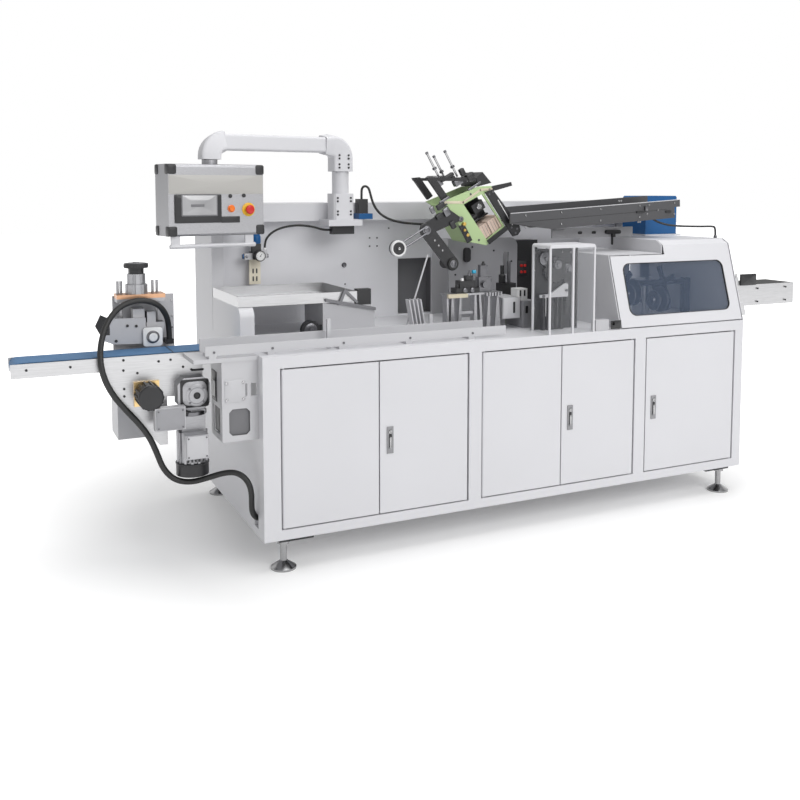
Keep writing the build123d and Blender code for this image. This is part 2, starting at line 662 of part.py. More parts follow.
# Guide rails, fingers and posts along the front of the table
def make_guides():
    rails = None
    for y, x1, height in zip(RAIL_PLACES, RAIL_ENDS, RAIL_HEIGHTS):
        rail = on_table(RAIL_X0, x1, y, y + RAIL_T, RAIL_LIFT, RAIL_LIFT + height)
        rails = rail if rails is None else rails + rail
    for x in RAIL_FEET:
        rails += on_table(x, x + RAIL_FOOT_W, RAIL_PLACES[0], RAIL_PLACES[1] + RAIL_T, 0, RAIL_LIFT)
    rails += block(BRIDGE_X0, 0, RAIL_PLACES[0], CONV_Y[0] - SIDE_T, TABLE_Z - BRIDGE_T, TABLE_Z)
    half = POST_W / 2
    posts = [on_table(x - half, x + half, y - half, y + half, 0, h) for x, y, h in POSTS]
    finger_end = FINGER_X + FINGER_LEAN + FINGER_PITCH * (FINGER_COUNT - 1) + FINGER_T
    fingers = on_table(FINGER_X + FINGER_LEAN - FINGER_T, finger_end, *FINGER_Y, 0, FINGER_T)
    for number in range(FINGER_COUNT):
        top_x = FINGER_X + number * FINGER_PITCH
        foot_x = top_x + FINGER_LEAN
        fingers += slab_xz([(foot_x, 0), (foot_x + FINGER_T, 0), (top_x + FINGER_T, FINGER_TOP), (top_x, FINGER_TOP)],
                           *FINGER_Y, TABLE_Z)
    (xa, y), (xb, zb) = STOP_ROD
    stop = bar((xa, y, TABLE_Z), (xb, y, TABLE_Z + zb), STOP_ROD_D)
    stop -= on_table(xa - STOP_ROD_D, xa + STOP_ROD_D, y - STOP_ROD_D, y + STOP_ROD_D, -STOP_ROD_D, 0)
    keep("guide_rails", rails, *posts, fingers, stop)


# Folding platform with its legs, and the folding head on it
def make_platform():
    top = PLATE_TOP
    deck = on_table(PLATE_X[0], PLATE_X[1], *PLATE_Y, top - PLATE_T, top)
    tooth_w, tooth_h, tooth_d = COMB_TOOTH
    pitch = (PLATE_X[1] - COMB_X0) / COMB_TEETH
    for number in range(COMB_TEETH):
        x = COMB_X0 + number * pitch
        deck += on_table(x, x + tooth_w, PLATE_Y[0] - tooth_d, PLATE_Y[0], top - PLATE_T - tooth_h, top)
    for (foot_0, foot_1), (top_0, top_1) in LEGS:
        outline = [(foot_0, 0), (foot_1, 0), (top_1, top - PLATE_T), (top_0, top - PLATE_T)]
        deck += slab_xz(outline, *LEG_Y, TABLE_Z)
    x0, x1, low, high = LEG_TIE
    deck += on_table(x0, x1, LEG_Y[0] + 8, LEG_Y[1] - 8, low, high)
    pad_x0 = PLATE_X[0] - 4
    deck += on_table(pad_x0, PAD_X1, PLATE_Y[0] - PAD_T, PLATE_Y[0], top - PAD_T, top)
    y0, y1 = PLATE_Y[0] + 8, PLATE_Y[1] - 8
    for x0, x1, low, high in HEAD_BODY:
        deck += on_table(x0, x1, y0 + low / 4, y1 - low / 4, top + low, top + high)
    x0, x1 = VALVE_X
    cap_x0, cap_x1, cap_top = VALVE_CAP
    mid_x, mid_z = (cap_x0 + cap_x1) / 2, TABLE_Z + top + VALVE_H / 2
    valve = on_table(x0, x1, y0 + 12, y1 - 12, top, top + VALVE_H)
    valve += on_table(cap_x0, cap_x1, y0 + 16, y1 - 16, top + VALVE_H, top + cap_top)
    valve += bar((mid_x, y0 - 4, mid_z), (mid_x, y0 + 13, mid_z), VALVE_BARREL_D, 12)
    keep("fold_platform", deck + valve)


def make_mechanism():
    """The boxes behind the platform, the mechanism plate with its slot and cam, and the control cabinet."""
    y0, y1 = BOX_Y
    x0, x1, low, high = DRIVE_BOX
    drive = on_table(x0, x1, y0 + 20, y1, low, high) + on_table(x0 + 30, x1 - 30, y1 - 60, y1, 0, low)
    rollers = on_table(BEIGE_BOX[0], BEIGE_BOX[1], y0, y1, BEIGE_BOX[2], BEIGE_BOX[3])
    switch_y = (y0 + SWITCH_INSET, y0 + SWITCH_INSET + SWITCH_DEPTH)
    neck_top = SWITCH_BOX[2] + SWITCH_NECK_H
    rollers += on_table(BEIGE_BOX[0], SWITCH_BOX[1], *switch_y, SWITCH_BOX[2], neck_top)
    rollers += on_table(SWITCH_BOX[0], SWITCH_BOX[1], *switch_y, neck_top, SWITCH_BOX[3])
    x0, x1, high = GEAR_BLOCK
    gear_block = on_table(x0, x1, *GEAR_BLOCK_Y, 0, high)
    cabinet = on_table(HOOD_X0 - BOX_GAP + CABINET_GAP, HOOD_X0 - SHEET, *CABINET_Y, 0, CABINET_H)
    long, deep, high = INTERLOCK
    switch_x = HOOD_X0 - BOX_GAP + INTERLOCK_GAP
    interlock = on_table(switch_x, switch_x + long, SHEET, SHEET + deep, 0, high)
    keep("drive_boxes", drive, rollers, gear_block, cabinet, interlock)
    mech_x1 = HOOD_X0 - BOX_GAP + 10
    plate = on_table(MECH_X0, mech_x1, MECH_Y, MECH_Y + MECH_T, 0, MECH_H)
    corner = edges_along(plate, Axis.Y).sort_by(Axis.Z)[-2:].sort_by(Axis.X)[-1]
    plate = fillet(corner, MECH_R)
    right, left, low, high = MECH_SLOT
    plate -= on_table(mech_x1 - right, mech_x1 - left, MECH_Y, MECH_Y + MECH_T, low, high)
    cam_x, cam_z = CAM_PLACE
    cam = extrude(SlotOverall(CAM_H, CAM_W, rotation=90), CAM_T)
    keep("mechanism_plate", plate + Pos(cam_x, MECH_Y, TABLE_Z + cam_z) * Rot(90, 0, 0) * cam)


# Hood over the folding section
def hood_outline(high):
    """Corners of the hood's side, from the table's front edge up the slope and back to the rear wall."""
    if not high:
        top = TABLE_Z + HOOD_LOW_H
        front = HOOD_SLOPE_Y * HOOD_LOW_H / (HOOD_H - HOOD_CHAMFER[1])
        return [(0, TABLE_Z), (front, top), (REAR_Y, top), (REAR_Y, TABLE_Z)]
    slope_top = HOOD_TOP - HOOD_CHAMFER[1]
    return [(0, TABLE_Z), (HOOD_SLOPE_Y, slope_top), (HOOD_SLOPE_Y + HOOD_CHAMFER[0], HOOD_TOP),
            (REAR_Y, HOOD_TOP), (REAR_Y, TABLE_Z)]


def hinge_line():
    """Y and Z of the lid's hinge pins, just under the front edge of the hood's roof."""
    return (HOOD_SLOPE_Y + HOOD_CHAMFER[0] + HINGE_BARREL_D / 4, HOOD_TOP - HINGE_BARREL_D / 2 - 1)


def make_hood_shell():
    t = HOOD_SHEET
    pin_y, pin_z = hinge_line()
    stub = HINGE_STUB + LID_GAP
    left = slab_yz(hood_outline(False), HOOD_X0, HOOD_X0 + t)
    low_top = TABLE_Z + HOOD_LOW_H
    low_front = hood_outline(False)[1][0]
    step = slab_yz([(low_front + 2 * LID_GAP, low_top - t), (HOOD_SLOPE_Y, HOOD_TOP - HOOD_CHAMFER[1]),
                    (HOOD_SLOPE_Y + HOOD_CHAMFER[0], HOOD_TOP), (REAR_Y, HOOD_TOP), (REAR_Y, low_top - t)],
                   STEP_X, STEP_X + t)
    step += rod((STEP_X + t, pin_y, pin_z), (STEP_X + t + stub, pin_y, pin_z), HINGE_PIN_D)
    right = slab_yz(hood_outline(True), BASE_L - t, BASE_L)
    right += rod((BASE_L - t - stub, pin_y, pin_z), (BASE_L - t, pin_y, pin_z), HINGE_PIN_D)
    keep("hood_cheeks", left, step, right)
    roof_y = pin_y + HINGE_BARREL_D / 2 + LID_GAP
    roof_y0 = low_front + 2 * LID_GAP
    high_roof = block(STEP_X + t, BASE_L - t, roof_y, REAR_Y, HOOD_TOP - t, HOOD_TOP)
    low_roof = block(HOOD_X0 + t, STEP_X, roof_y0, REAR_Y, low_top - t, low_top)
    keep("hood_roof", high_roof, low_roof)


def make_lid():
    """The sloping front lid with its window. It is cut lower over the hood's left part, and turns on
    two pins at its top edge."""
    t = HOOD_SHEET
    outline = hood_outline(True)
    pin_y, pin_z = hinge_line()
    x0, x1 = HOOD_X0 + t + LID_GAP, BASE_L - t - LID_GAP
    low, high = Vector(0, 0, TABLE_Z), Vector(0, *outline[1])
    rise = (high - low).normalized()
    length = (high - low).length
    start = low + rise * LID_GAP
    inwards = Vector(0, rise.Z, -rise.Y) * t
    inner_start, inner_high = start + inwards, high + inwards
    skin = [(start.Y, start.Z), (high.Y, high.Z), (pin_y, HOOD_TOP - 1), (pin_y, HOOD_TOP - 1 - t),
            (inner_high.Y, inner_high.Z), (inner_start.Y, inner_start.Z)]
    lid = slab_yz(skin, x0, x1)
    lid -= block(x0 - 1, STEP_X + t + LID_GAP, 0, REAR_Y, TABLE_Z + HOOD_LOW_H - LID_GAP, HOOD_TOP)
    barrel_x0 = STEP_X + t + LID_GAP
    lid += rod((barrel_x0, pin_y, pin_z), (x1, pin_y, pin_z), HINGE_BARREL_D)
    lid -= rod((barrel_x0, pin_y, pin_z), (x1, pin_y, pin_z), HINGE_PIN_D + 2 * FIT_GAP)
    slope = Plane(origin=low, x_dir=(1, 0, 0), z_dir=(0, -rise.Z, rise.Y))
    mid = Pos((x0 + x1) / 2, (length - WINDOW_DROP) / 2, 0)
    wx, wy = WINDOW_MARGIN
    width, height = x1 - x0 - 2 * wx, length - WINDOW_DROP - 2 * wy
    hole = extrude(RectangleRounded(width, height, WINDOW_R), 3 * t, both=True)
    pane = extrude(Rectangle(width + 2 * WINDOW_LIP, height + 2 * WINDOW_LIP), WINDOW_T)
    keep("hood_lid", lid - slope * mid * hole)
    keep("hood_window", slope * mid * Pos(0, 0, -t - WINDOW_T) * pane)


def make_rotor():
    """The folding rotor that shows through the window: star wheels on a shaft between two stands."""
    z = TABLE_Z + ROTOR_H
    x0, x1 = HOOD_X0 + ROTOR_END_GAPS[0], BASE_L - ROTOR_END_GAPS[1]
    rotor = bar((x0, ROTOR_Y, z), (x1, ROTOR_Y, z), ROTOR_SHAFT_D)
    stars = [x0 + offset for offset in ROTOR_LEFT_STARS] + [x1 - offset for offset in ROTOR_RIGHT_STARS]
    for number, x in enumerate(stars):
        place = Plane(origin=(x, ROTOR_Y, z), x_dir=(0, 1, 0), z_dir=(1, 0, 0))
        rotor += place * Rot(0, 0, STAR_TURN * number) * star_solid(*STAR_R, STAR_ARMS, STAR_T, 0.22)
    half = STAND_W / 2
    for x in (x0 - STAND_W, x1):
        rotor += on_table(x, x + STAND_W, ROTOR_Y - half, ROTOR_Y + half, 0, ROTOR_H + half)
    keep("hood_rotor", rotor)


# Clear guard box beside the hood
def make_guard_box():
    x1 = HOOD_X0 - BOX_GAP
    x0 = x1 - BOX_L
    p = BOX_POST
    top = on_table(x0, x1, 0, BOX_D, BOX_H - BOX_TOP_T, BOX_H)
    top = fillet(edges_along(top, Axis.Y).sort_by(Axis.Z)[-2:], BOX_TOP_T - 1)
    for x in (x0, (x0 + x1) / 2, x1 - p):
        top += on_table(x, x + p, 0, p, 0, BOX_H - BOX_TOP_T)
    for x in (x0, x1 - p):
        top += on_table(x, x + p, BOX_D - p, BOX_D, 0, BOX_H - BOX_TOP_T)
    mid = (x0 + x1) / 2
    high = BOX_H - BOX_TOP_T
    inner = 2 + PANE_T
    keep("guard_panes", on_table(x0 + p, mid, 2, inner, 0, high), on_table(mid + p, x1 - p, 2, inner, 0, high),
         on_table(x0 + 2, x0 + inner, p, BOX_D - p, 0, high))
    back_y = BOX_D + BACK_GAP
    gears = on_table(x0 + BACK_GAP, x1 - BACK_GAP, back_y, back_y + BACK_T, 0, BOX_H - BACK_DROP)
    gear_x, gear_z = mid + GEAR_PLACE[0], TABLE_Z + BOX_H - GEAR_PLACE[1]
    toward = Plane(origin=(gear_x, back_y, gear_z), x_dir=(1, 0, 0), z_dir=(0, -1, 0))
    gears += toward * star_solid(GEAR_D / 2, GEAR_D / 2 - 7, GEAR_TEETH, GEAR_T, 0.5, 0.9)
    pinion = Pos(PINION_SHIFT[0], -PINION_SHIFT[1], 0)
    gears += toward * pinion * star_solid(GEAR_D / 4, GEAR_D / 4 - 5, GEAR_TEETH // 2, GEAR_T, 0.5, 0.9)
    cam_y = back_y - GEAR_T - CAM_PLATE_T
    gears += slab_xz([(x0 + x, z) for x, z in CAM_PLATE], cam_y, cam_y + CAM_PLATE_T, TABLE_Z)
    left, right, low, high = CAM_STUD
    gears += on_table(x0 + left, x0 + right, cam_y + CAM_PLATE_T, back_y, low, high)
    for place in CAM_FIN_PLACES:
        fin_y = cam_y - CAM_FIN_DEPTH / 4
        gears += slab_xz([(x0 + place + x, z) for x, z in CAM_FIN], fin_y, fin_y + CAM_FIN_DEPTH, TABLE_Z)
    keep("guard_frame", top, gears)


# Operator panel
def panel_place():
    return Pos(PENDANT[0], PENDANT[1], 0) * Rot(0, 0, PANEL_TURN)


def make_operator_arm():
    cx, cy = COLUMN
    fx, fy, fz = FLANGE
    flange = block(cx - fx / 2, cx + fx / 2, cy - fy / 2, REAR_Y, FLANGE_Z, FLANGE_Z + fz)
    plug_x0, plug_x1, plug_h, plug_w = PLUG
    flange += block(plug_x0, plug_x1, cy - plug_w / 2, cy + plug_w / 2, FLANGE_Z - plug_h, FLANGE_Z)
    half = SOCKET_W / 2
    socket_top = FLANGE_Z + fz + SOCKET_H
    socket = block(cx - half, cx + half, cy - half, cy + half, FLANGE_Z + fz, socket_top)
    socket = chamfer(edges_along(socket, Axis.Z), 10)
    tube = rod((cx, cy, socket_top), (cx, cy, ELBOW_Z0 - SWIVEL_GAP), TUBE_W)
    jx0, jx1, jy0, jy1 = JUNCTION
    base_z = FLANGE_Z + fz
    box_z = base_z + JUNCTION_BASE_H
    junction = block(jx0, JUNCTION_BASE_X1, jy0, REAR_Y, base_z, box_z)
    junction += block(jx0, jx1, jy0, jy1, box_z, box_z + JUNCTION_H)
    keep("arm_column", flange + socket + tube, junction)
    ew = ELBOW_W / 2
    top = ARM_Z + ARM_T / 2 + CASTING_LIP
    direction = Vector(PENDANT[0] - cx, PENDANT[1] - cy, 0)
    reach = direction.length
    arm_place = Plane(origin=(cx, cy, 0), x_dir=direction.normalized(), z_dir=(0, 0, 1))
    elbow = block(-ew, ELBOW_L, -ew, ew, ELBOW_Z0, top)
    elbow = fillet(edges_along(elbow, Axis.Z).sort_by(Axis.X)[:2], 30)
    half_head = HEAD_W / 2
    beam = block(ELBOW_L, reach - half_head, -ARM_T / 2, ARM_T / 2, ARM_Z - ARM_T / 2, ARM_Z + ARM_T / 2)
    keep("arm_tube", arm_place * fillet(edges_along(beam, Axis.X), 12))
    head_z0 = PANEL_Z + PANEL_H + NECK_H
    head = block(reach - half_head, reach + half_head, -half_head, half_head, head_z0, top + CASTING_LIP)
    head = chamfer(edges_along(head, Axis.Z), 18)
    keep("arm_castings", arm_place * elbow, arm_place * head)


def make_operator_panel():
    place = panel_place()
    head_z0 = PANEL_Z + PANEL_H + NECK_H
    body = block(-PANEL_W / 2, PANEL_W / 2, -PANEL_D / 2, PANEL_D / 2, PANEL_Z, PANEL_Z + PANEL_H)
    keep("panel_box", place * fillet(edges_along(body, Axis.X), PANEL_EDGE_R))
    neck = rod((0, 0, PANEL_Z + PANEL_H), (0, 0, head_z0 - SWIVEL_GAP), NECK_D)
    front = -PANEL_D / 2
    sx0, sx1, sz0, sz1 = SCREEN
    buttons = [place * block(sx0, sx1, front - SCREEN_T, front, PANEL_Z + sz0, PANEL_Z + sz1)]
    for x, rise, wide, proud in (BUTTON, STOP_BUTTON):
        z = PANEL_Z + rise
        buttons.append(place * rod((x, front, z), (x, front - proud, z), wide))
    keep("panel_buttons", *buttons)
    bar_z = PANEL_Z - HANDLE_DROP
    bar_y = front + HANDLE_D
    handle = bar((HANDLE_X[0], bar_y, bar_z), (HANDLE_X[1], bar_y, bar_z), HANDLE_D)
    for x in HANDLE_LUGS:
        handle += block(x - HANDLE_D, x + HANDLE_D, bar_y - 6, bar_y + 6, bar_z, PANEL_Z)
    keep("panel_fittings", place * neck, place * handle)


def make_regulator():
    """Air regulator: body, gauge, side ports and a slotted plate on the rear wall, with a knob on top."""
    wide, deep, high = REG_BODY
    z = REAR_TOP - REG_DROP
    y0, y1 = REG_Y - deep / 2, REG_Y + deep / 2
    body = block(REG_X - wide / 2, REG_X + wide / 2, y0, y1, z, z + high)
    gauge_d, gauge_t, gauge_rise = GAUGE
    body += rod((REG_X + 8, y0 - gauge_t, z + gauge_rise), (REG_X + 8, y0, z + gauge_rise), gauge_d)
    left, right, port_h = REG_PORTS
    body += block(REG_X - left, REG_X, REG_Y - 12, REG_Y + 12, z, z + port_h)
    body += block(REG_X, REG_X + right, REG_Y - 14, REG_Y + 14, z + 4, z + port_h + 16)
    knob_d, knob_h = REG_KNOB
    body += bar((REG_X, REG_Y, z + high), (REG_X, REG_Y, z + high + knob_h), knob_d, 12)
    plate_w, plate_t, plate_h = REG_PLATE
    plate = block(REG_X - plate_w / 2, REG_X + plate_w / 2, y1, y1 + plate_t, z - plate_h, z + high / 2)
    half, low, rise = REG_ARM
    plate += block(REG_X - half, REG_X + half, y1 + plate_t, REAR_WALL_Y, z - low, z + rise)
    keep("air_regulator", body + plate)


# Left conveyor
def make_conveyor():
    y0, y1 = CONV_Y
    lower = [(x, SIDE_LOW - drop) for x, drop in SIDE_WIDE]
    front = [(CONV_X0, SIDE_LOW), *lower, (0, SIDE_LOW), (0, SIDE_TOP), (CONV_X0, SIDE_TOP)]
    rear = [(CONV_X0, SIDE_LOW), (0, SIDE_LOW), (0, SIDE_TOP), (CONV_X0, SIDE_TOP)]
    keep("conveyor_side_plates", slab_xz(front, y0 - SIDE_T, y0), slab_xz(rear, y1, y1 + SIDE_T))
    mid_z = BELT_TOP - BELT_T - ROLLER_D / 2
    x0, x1 = CONV_X0 + ROLLER_INSET, -ROLLER_INSET
    loop = SlotCenterToCenter(x1 - x0, ROLLER_D + 2 * BELT_T) - SlotCenterToCenter(x1 - x0, ROLLER_D)
    belt_plane = Plane(origin=((x0 + x1) / 2, y0 + 8, mid_z), x_dir=(1, 0, 0), z_dir=(0, 1, 0))
    keep("conveyor_belt", belt_plane * extrude(loop, y1 - y0 - 16))
    keep("conveyor_rollers", *[rod((x, y0, mid_z), (x, y1, mid_z), ROLLER_D) for x in (x0, x1)])
    lx0, lx1, deep, drop = LEG_BOX
    leg = block(lx0, lx1, y1 + SIDE_T, y1 + SIDE_T + deep, SIDE_LOW - drop, SIDE_LOW)
    keep("conveyor_leg_box", leg, make_box_bracket())


def make_gear_motors():
    y = MOTOR_Y
    fx, drop, size, thick = FLANGE_PLATE
    fz = TABLE_Z - drop
    half = size / 2
    motors = block(fx - half, fx + half, y - thick, y, fz - half, fz + half)
    small_d, small_l = SMALL_MOTOR
    toward = Plane(origin=(fx, y - thick, fz), x_dir=(1, 0, 0), z_dir=(0, -1, 0))
    motors += toward * star_solid(small_d / 2, small_d / 2 - FIN_DEPTH, MOTOR_FINS, small_l)
    x0, x1, top, bottom = GEARBOX
    cut = GEARBOX_CUT
    z0, z1 = TABLE_Z - bottom, TABLE_Z - top
    box = slab_xz([(x0 + cut, z0), (x1 - cut, z0), (x1, z0 + cut), (x1, z1 - cut), (x1 - cut, z1), (x0 + cut, z1),
                   (x0, z1 - cut), (x0, z0 + cut)], y - GEARBOX_T, y)
    bx, bdrop, boss_d, bore_d, boss_t = BOSS
    bz = TABLE_Z - bdrop
    box += rod((bx, y - GEARBOX_T - boss_t, bz), (bx, y - GEARBOX_T, bz), boss_d)
    box -= rod((bx, y - GEARBOX_T - boss_t, bz), (bx, y - GEARBOX_T, bz), bore_d)
    wide, deep, high = NECK_BLOCK
    mx = BIG_MOTOR_X
    box += block(mx - wide / 2, mx + wide / 2, y - deep, y, z0 - high, z0)
    big_d, big_l = BIG_MOTOR
    my = y - deep / 2
    motor_top = z0 - high
    cowl_top = motor_top - big_l
    box += Pos(mx, my, cowl_top) * star_solid(big_d / 2, big_d / 2 - FIN_DEPTH, MOTOR_FINS, big_l)
    box += rod((mx, my, cowl_top - COWL_H), (mx, my, cowl_top), COWL_D)
    motors += box
    for bx0, bx1, high_drop, low_drop, front in TERMINAL_BOXES:
        motors += block(bx0, bx1, front, front + MOTOR_BOX_T, TABLE_Z - low_drop, TABLE_Z - high_drop)
    keep("gear_motors", motors)


def make_box_bracket():
    """An open box of folded sheet on the base's left end, with bolt slots and a rounded window."""
    y0, y1 = BRACKET_Y
    z0, z1 = TABLE_Z - BRACKET_Z[1], TABLE_Z - BRACKET_Z[0]
    t = SHEET
    box = block(-BRACKET_L, 0, y0, y1, z0, z1) - block(-BRACKET_L + t, 0, y0 + t, y1, z0 + t, z1 - t)
    for x0, x1 in BRACKET_SLOTS:
        box -= block(x0, x1, y0, y0 + t, TABLE_Z - SLOT_Z[1], TABLE_Z - SLOT_Z[0])
    wx0, wx1, top, bottom = BRACKET_WINDOW
    window = block(wx0, wx1, y0, y0 + t, TABLE_Z - bottom, TABLE_Z - top)
    box -= chamfer(edges_along(window, Axis.Y), BRACKET_R)
    box -= block(-BRACKET_L, -BRACKET_L + t, *SIDE_WINDOW_Y, TABLE_Z - bottom, TABLE_Z - top)
    return box


def make_outfeed():
    x0, x1 = BASE_L, BASE_L + OUTFEED_L
    z0, z1 = TABLE_Z + OUTFEED_H[0], TABLE_Z + OUTFEED_H[1]
    y0, y1 = OUTFEED_Y
    near, far = [block(x0, x1, y, y + SIDE_T, z0, z1) for y in (y0, y1)]
    keep("outfeed_belt", block(x0, x1, y0 + SIDE_T, y1, z1 - OUTFEED_BELT_T, z1))
    near += slab_xz([(x0 + x, z) for x, z in OUTFEED_BRACKET], y0 - SIDE_T, y0, TABLE_Z)
    keep("outfeed_sides", near, far)


# Carton chute and the glue unit at its end
def make_chute():
    x0, rise = MAG_X + CHUTE_START[0], MAG_Z - CHUTE_START[1]
    tilt = Pos(x0, 0, rise) * Rot(0, -CHUTE_TILT, 0)
    y0, y1 = CHUTE_Y
    t, h = CHUTE_SIDE_T, CHUTE_SIDE_H
    long = (REAR_X1 - CHUTE_END_GAP - x0) / cos(radians(CHUTE_TILT))
    far_x1 = long - CHUTE_FAR_CUT
    lip, foot_x, toe, far_x0 = CHUTE_CUTS
    near = slab_xz([(0, 0), (long, 0), (long, -lip), (long - lip, -lip), (long - lip, -h), (foot_x, -h), (0, -toe)],
                   y0, y0 + t)
    far = slab_xz([(far_x0, CHUTE_FAR_RISE), (far_x1, CHUTE_FAR_RISE), (far_x1, -h), (foot_x, -h), (far_x0, -toe)],
                  y1 - t, y1)
    bed_x0, deep, thin = CHUTE_BED
    chute = near + far + block(bed_x0, far_x1, y0 + t, y1 - t, -deep, -thin)
    gap, high, wide, inset = CHUTE_RAIL
    for y in (y0 + t + inset, y1 - t - inset - wide):
        chute += block(bed_x0, far_x1 - gap, y, y + wide, -thin, -thin + high)
    keep("chute_rails", tilt * chute)
    z0, z1 = REAR_TOP - CHUTE_BRACKET_Z[0], REAR_TOP - CHUTE_BRACKET_Z[1]
    places = (CHUTE_BRACKET_X0, REAR_X1 - CHUTE_BRACKET_END_GAP)
    brackets = [block(x, x + CHUTE_BRACKET_W, y1, REAR_Y, z0, z1) for x in places]
    beam = block(HOOD_X0 + BEAM_ENDS[0], BASE_L - BEAM_ENDS[1], *BEAM_Y, HOOD_TOP, HOOD_TOP + BEAM_H)
    offset, wide, drop, high = MAG_ARM
    x, z = MAG_X + offset, REAR_TOP - drop
    mag_arm = block(x, x + wide, MAG_Y[1], REAR_WALL_Y, z, z + high)
    keep("chute_brackets", *brackets, beam, mag_arm)
    left, right, high = GLUE_BOX
    shelf_top = HOOD_TOP + SHELF_T
    gx0, gx1 = BASE_L - left, BASE_L + right
    shelf = block(gx0 - SHELF_LIP, gx1 + SHELF_LIP, GLUE_Y[0] - SHELF_LIP, GLUE_Y[1], HOOD_TOP, shelf_top)
    box = block(gx0, gx1, *GLUE_Y, shelf_top, shelf_top + high)
    keep("glue_unit", shelf + chamfer(edges_along(box, Axis.Y).sort_by(Axis.Z)[-2:], GLUE_CHAMFER))


# Magazine head
def make_magazine():
    """The carton magazine: two side plates with a window, a ribbed back, the carton stack on its floor,
    a side arm with a slot, and a frame with three spindles on top."""
    head = Pos(MAG_X, 0, MAG_Z) * Rot(0, MAG_SLOPE, 0)
    y0, y1 = MAG_Y
    t = MAG_PLATE_T
    plate = slab_xz(MAG_SIDE, y0, y0 + t) - slab_xz(MAG_WINDOW, y0, y0 + t)
    frame = plate + slab_xz(MAG_BACK, y0 + t, y1 - t) + slab_xz(MAG_SIDE, y1 - t, y1)
    keep("magazine_frame", head * frame)
    down_0, down_1, across_0, across_1 = RIB_PANEL
    panel_y = (y0 + y1) / 2 + 8
    panel = block(down_0, down_1, panel_y, y1 - t, across_0, across_1)
    rib_w, rib_d = RIB_SIZE
    pitch = (down_1 - down_0 - rib_w) / (RIB_COUNT - 1)
    for number in range(RIB_COUNT):
        down = down_0 + number * pitch
        panel += block(down, down + rib_w, panel_y - rib_d, panel_y, across_0, across_1)
    sheets = None
    width = (CARTON_ACROSS[1] - CARTON_ACROSS[0]) / CARTON_COUNT
    for number in range(CARTON_COUNT):
        across = CARTON_ACROSS[0] + number * width
        back = 3 * (number % 3)
        sheet = block(CARTON_DOWN[0] + back / 2, CARTON_DOWN[1], y0 + t + back, y1 - t, across, across + width)
        sheets = sheet if sheets is None else sheets + sheet
    keep("magazine_cartons", head * sheets)
    arm = slab_xz(SIDE_ARM, y0 - SIDE_ARM_T, y0) - slab_xz(SIDE_ARM_SLOT, y0 - SIDE_ARM_T, y0)
    arm += slab_xz(CARTON_FLOOR, y0 - SIDE_ARM_T, y0)
    floor = slab_xz(CARTON_FLOOR, y0 + t, y1 - t)
    frames = None
    for y in (y0, y1 - BEAM_T):
        side = slab_xz(TOP_BEAM, y, y + BEAM_T) + slab_xz(TOP_POST, y, y + BEAM_T)
        frames = side if frames is None else frames + side
    frames += slab_xz(TOP_BLOCK, y0, y1) + slab_xz(TOP_PLATE, y0, y1)
    for _, end, across, _ in SPINDLES[:2]:
        frames += block(end, end + CROSS_BAR, y0, y1, across - CROSS_BAR / 2, across + CROSS_BAR / 2)
    for start, end, across, y in SPINDLES:
        frames += bar((start, y, across), (end, y, across), SPINDLE_D)
    keep("magazine_top_frame", head * frames, head * slab_xz(FEELER, y0 + t, y0 + 2 * t))
    down_0, down_1, across_0, across_1 = ACTUATOR
    actuator = block(down_0, down_1, y0 - SIDE_ARM_T, y0, across_0, across_1)
    down_0, down_1, across_0, across_1 = HEAD_MOTOR
    panel += block(down_0, down_1, y0 + t + HEAD_MOTOR_GAP, panel_y - rib_d, across_0, across_1)
    keep("magazine_fittings", head * arm, head * floor, head * panel, head * actuator)


# Picker
def make_picker():
    px, pz = MAG_X + PIVOT[0], MAG_Z + PIVOT[1]
    ex, ez = px + PICKER_SHIFT[0], pz + PICKER_SHIFT[1]
    wx, wz = px + WHEEL_SHIFT[0], pz + WHEEL_SHIFT[1]
    y0, y1 = PICKER_Y, PICKER_Y + PICKER_T
    half = PICKER_BOSS_D / 2
    along = Vector(ex - px, 0, ez - pz).normalized()
    sx, sz = -along.Z * half, along.X * half
    arm = rod((px, y0, pz), (px, y1, pz), PICKER_BOSS_D) + rod((ex, y0, ez), (ex, y1, ez), PICKER_BOSS_D)
    arm += slab_xz([(px - sx, pz - sz), (px + sx, pz + sz), (ex + sx, ez + sz), (ex - sx, ez - sz)], y0, y1)
    arm -= rod((px, y0, pz), (px, y1, pz), PICKER_PIN_D + 2 * FIT_GAP)
    keep("picker_arm", arm)
    keep("picker_roller", rod((ex, y0 - PICKER_CAP_T, ez), (ex, y0, ez), PAD_ROLLER_D),
         rod((ex, y1, ez), (ex, y1 + PAD_ROLLER_L, ez), PAD_ROLLER_D))
    rod_y = y0 - ROD_D / 2
    wheel = rod((wx, y0 - WHEEL_FACE, wz), (wx, y0 + WHEEL_T, wz), WHEEL_D)
    for dz in (-ROD_SPREAD, ROD_SPREAD):
        wheel += bar((px - ROD_LAP, rod_y, pz + dz), (wx, rod_y, wz + dz), ROD_D)
    keep("picker_rods", wheel)
    plate_y = y1 + BRACKET_GAP
    bracket = slab_xz([(px + x, pz + z) for x, z in PICKER_BRACKET], plate_y, MAG_Y[0])
    (xa, za), (xb, zb) = PICKER_DRIVE
    drive_y = MAG_Y[0] + DRIVE_D / 2 - BRACKET_GAP
    bracket += bar((px + xa, drive_y, pz + za), (px + xb, drive_y, pz + zb), DRIVE_D, 12)
    keep("picker_bracket", bracket + rod((px, y0, pz), (px, plate_y, pz), PICKER_PIN_D))


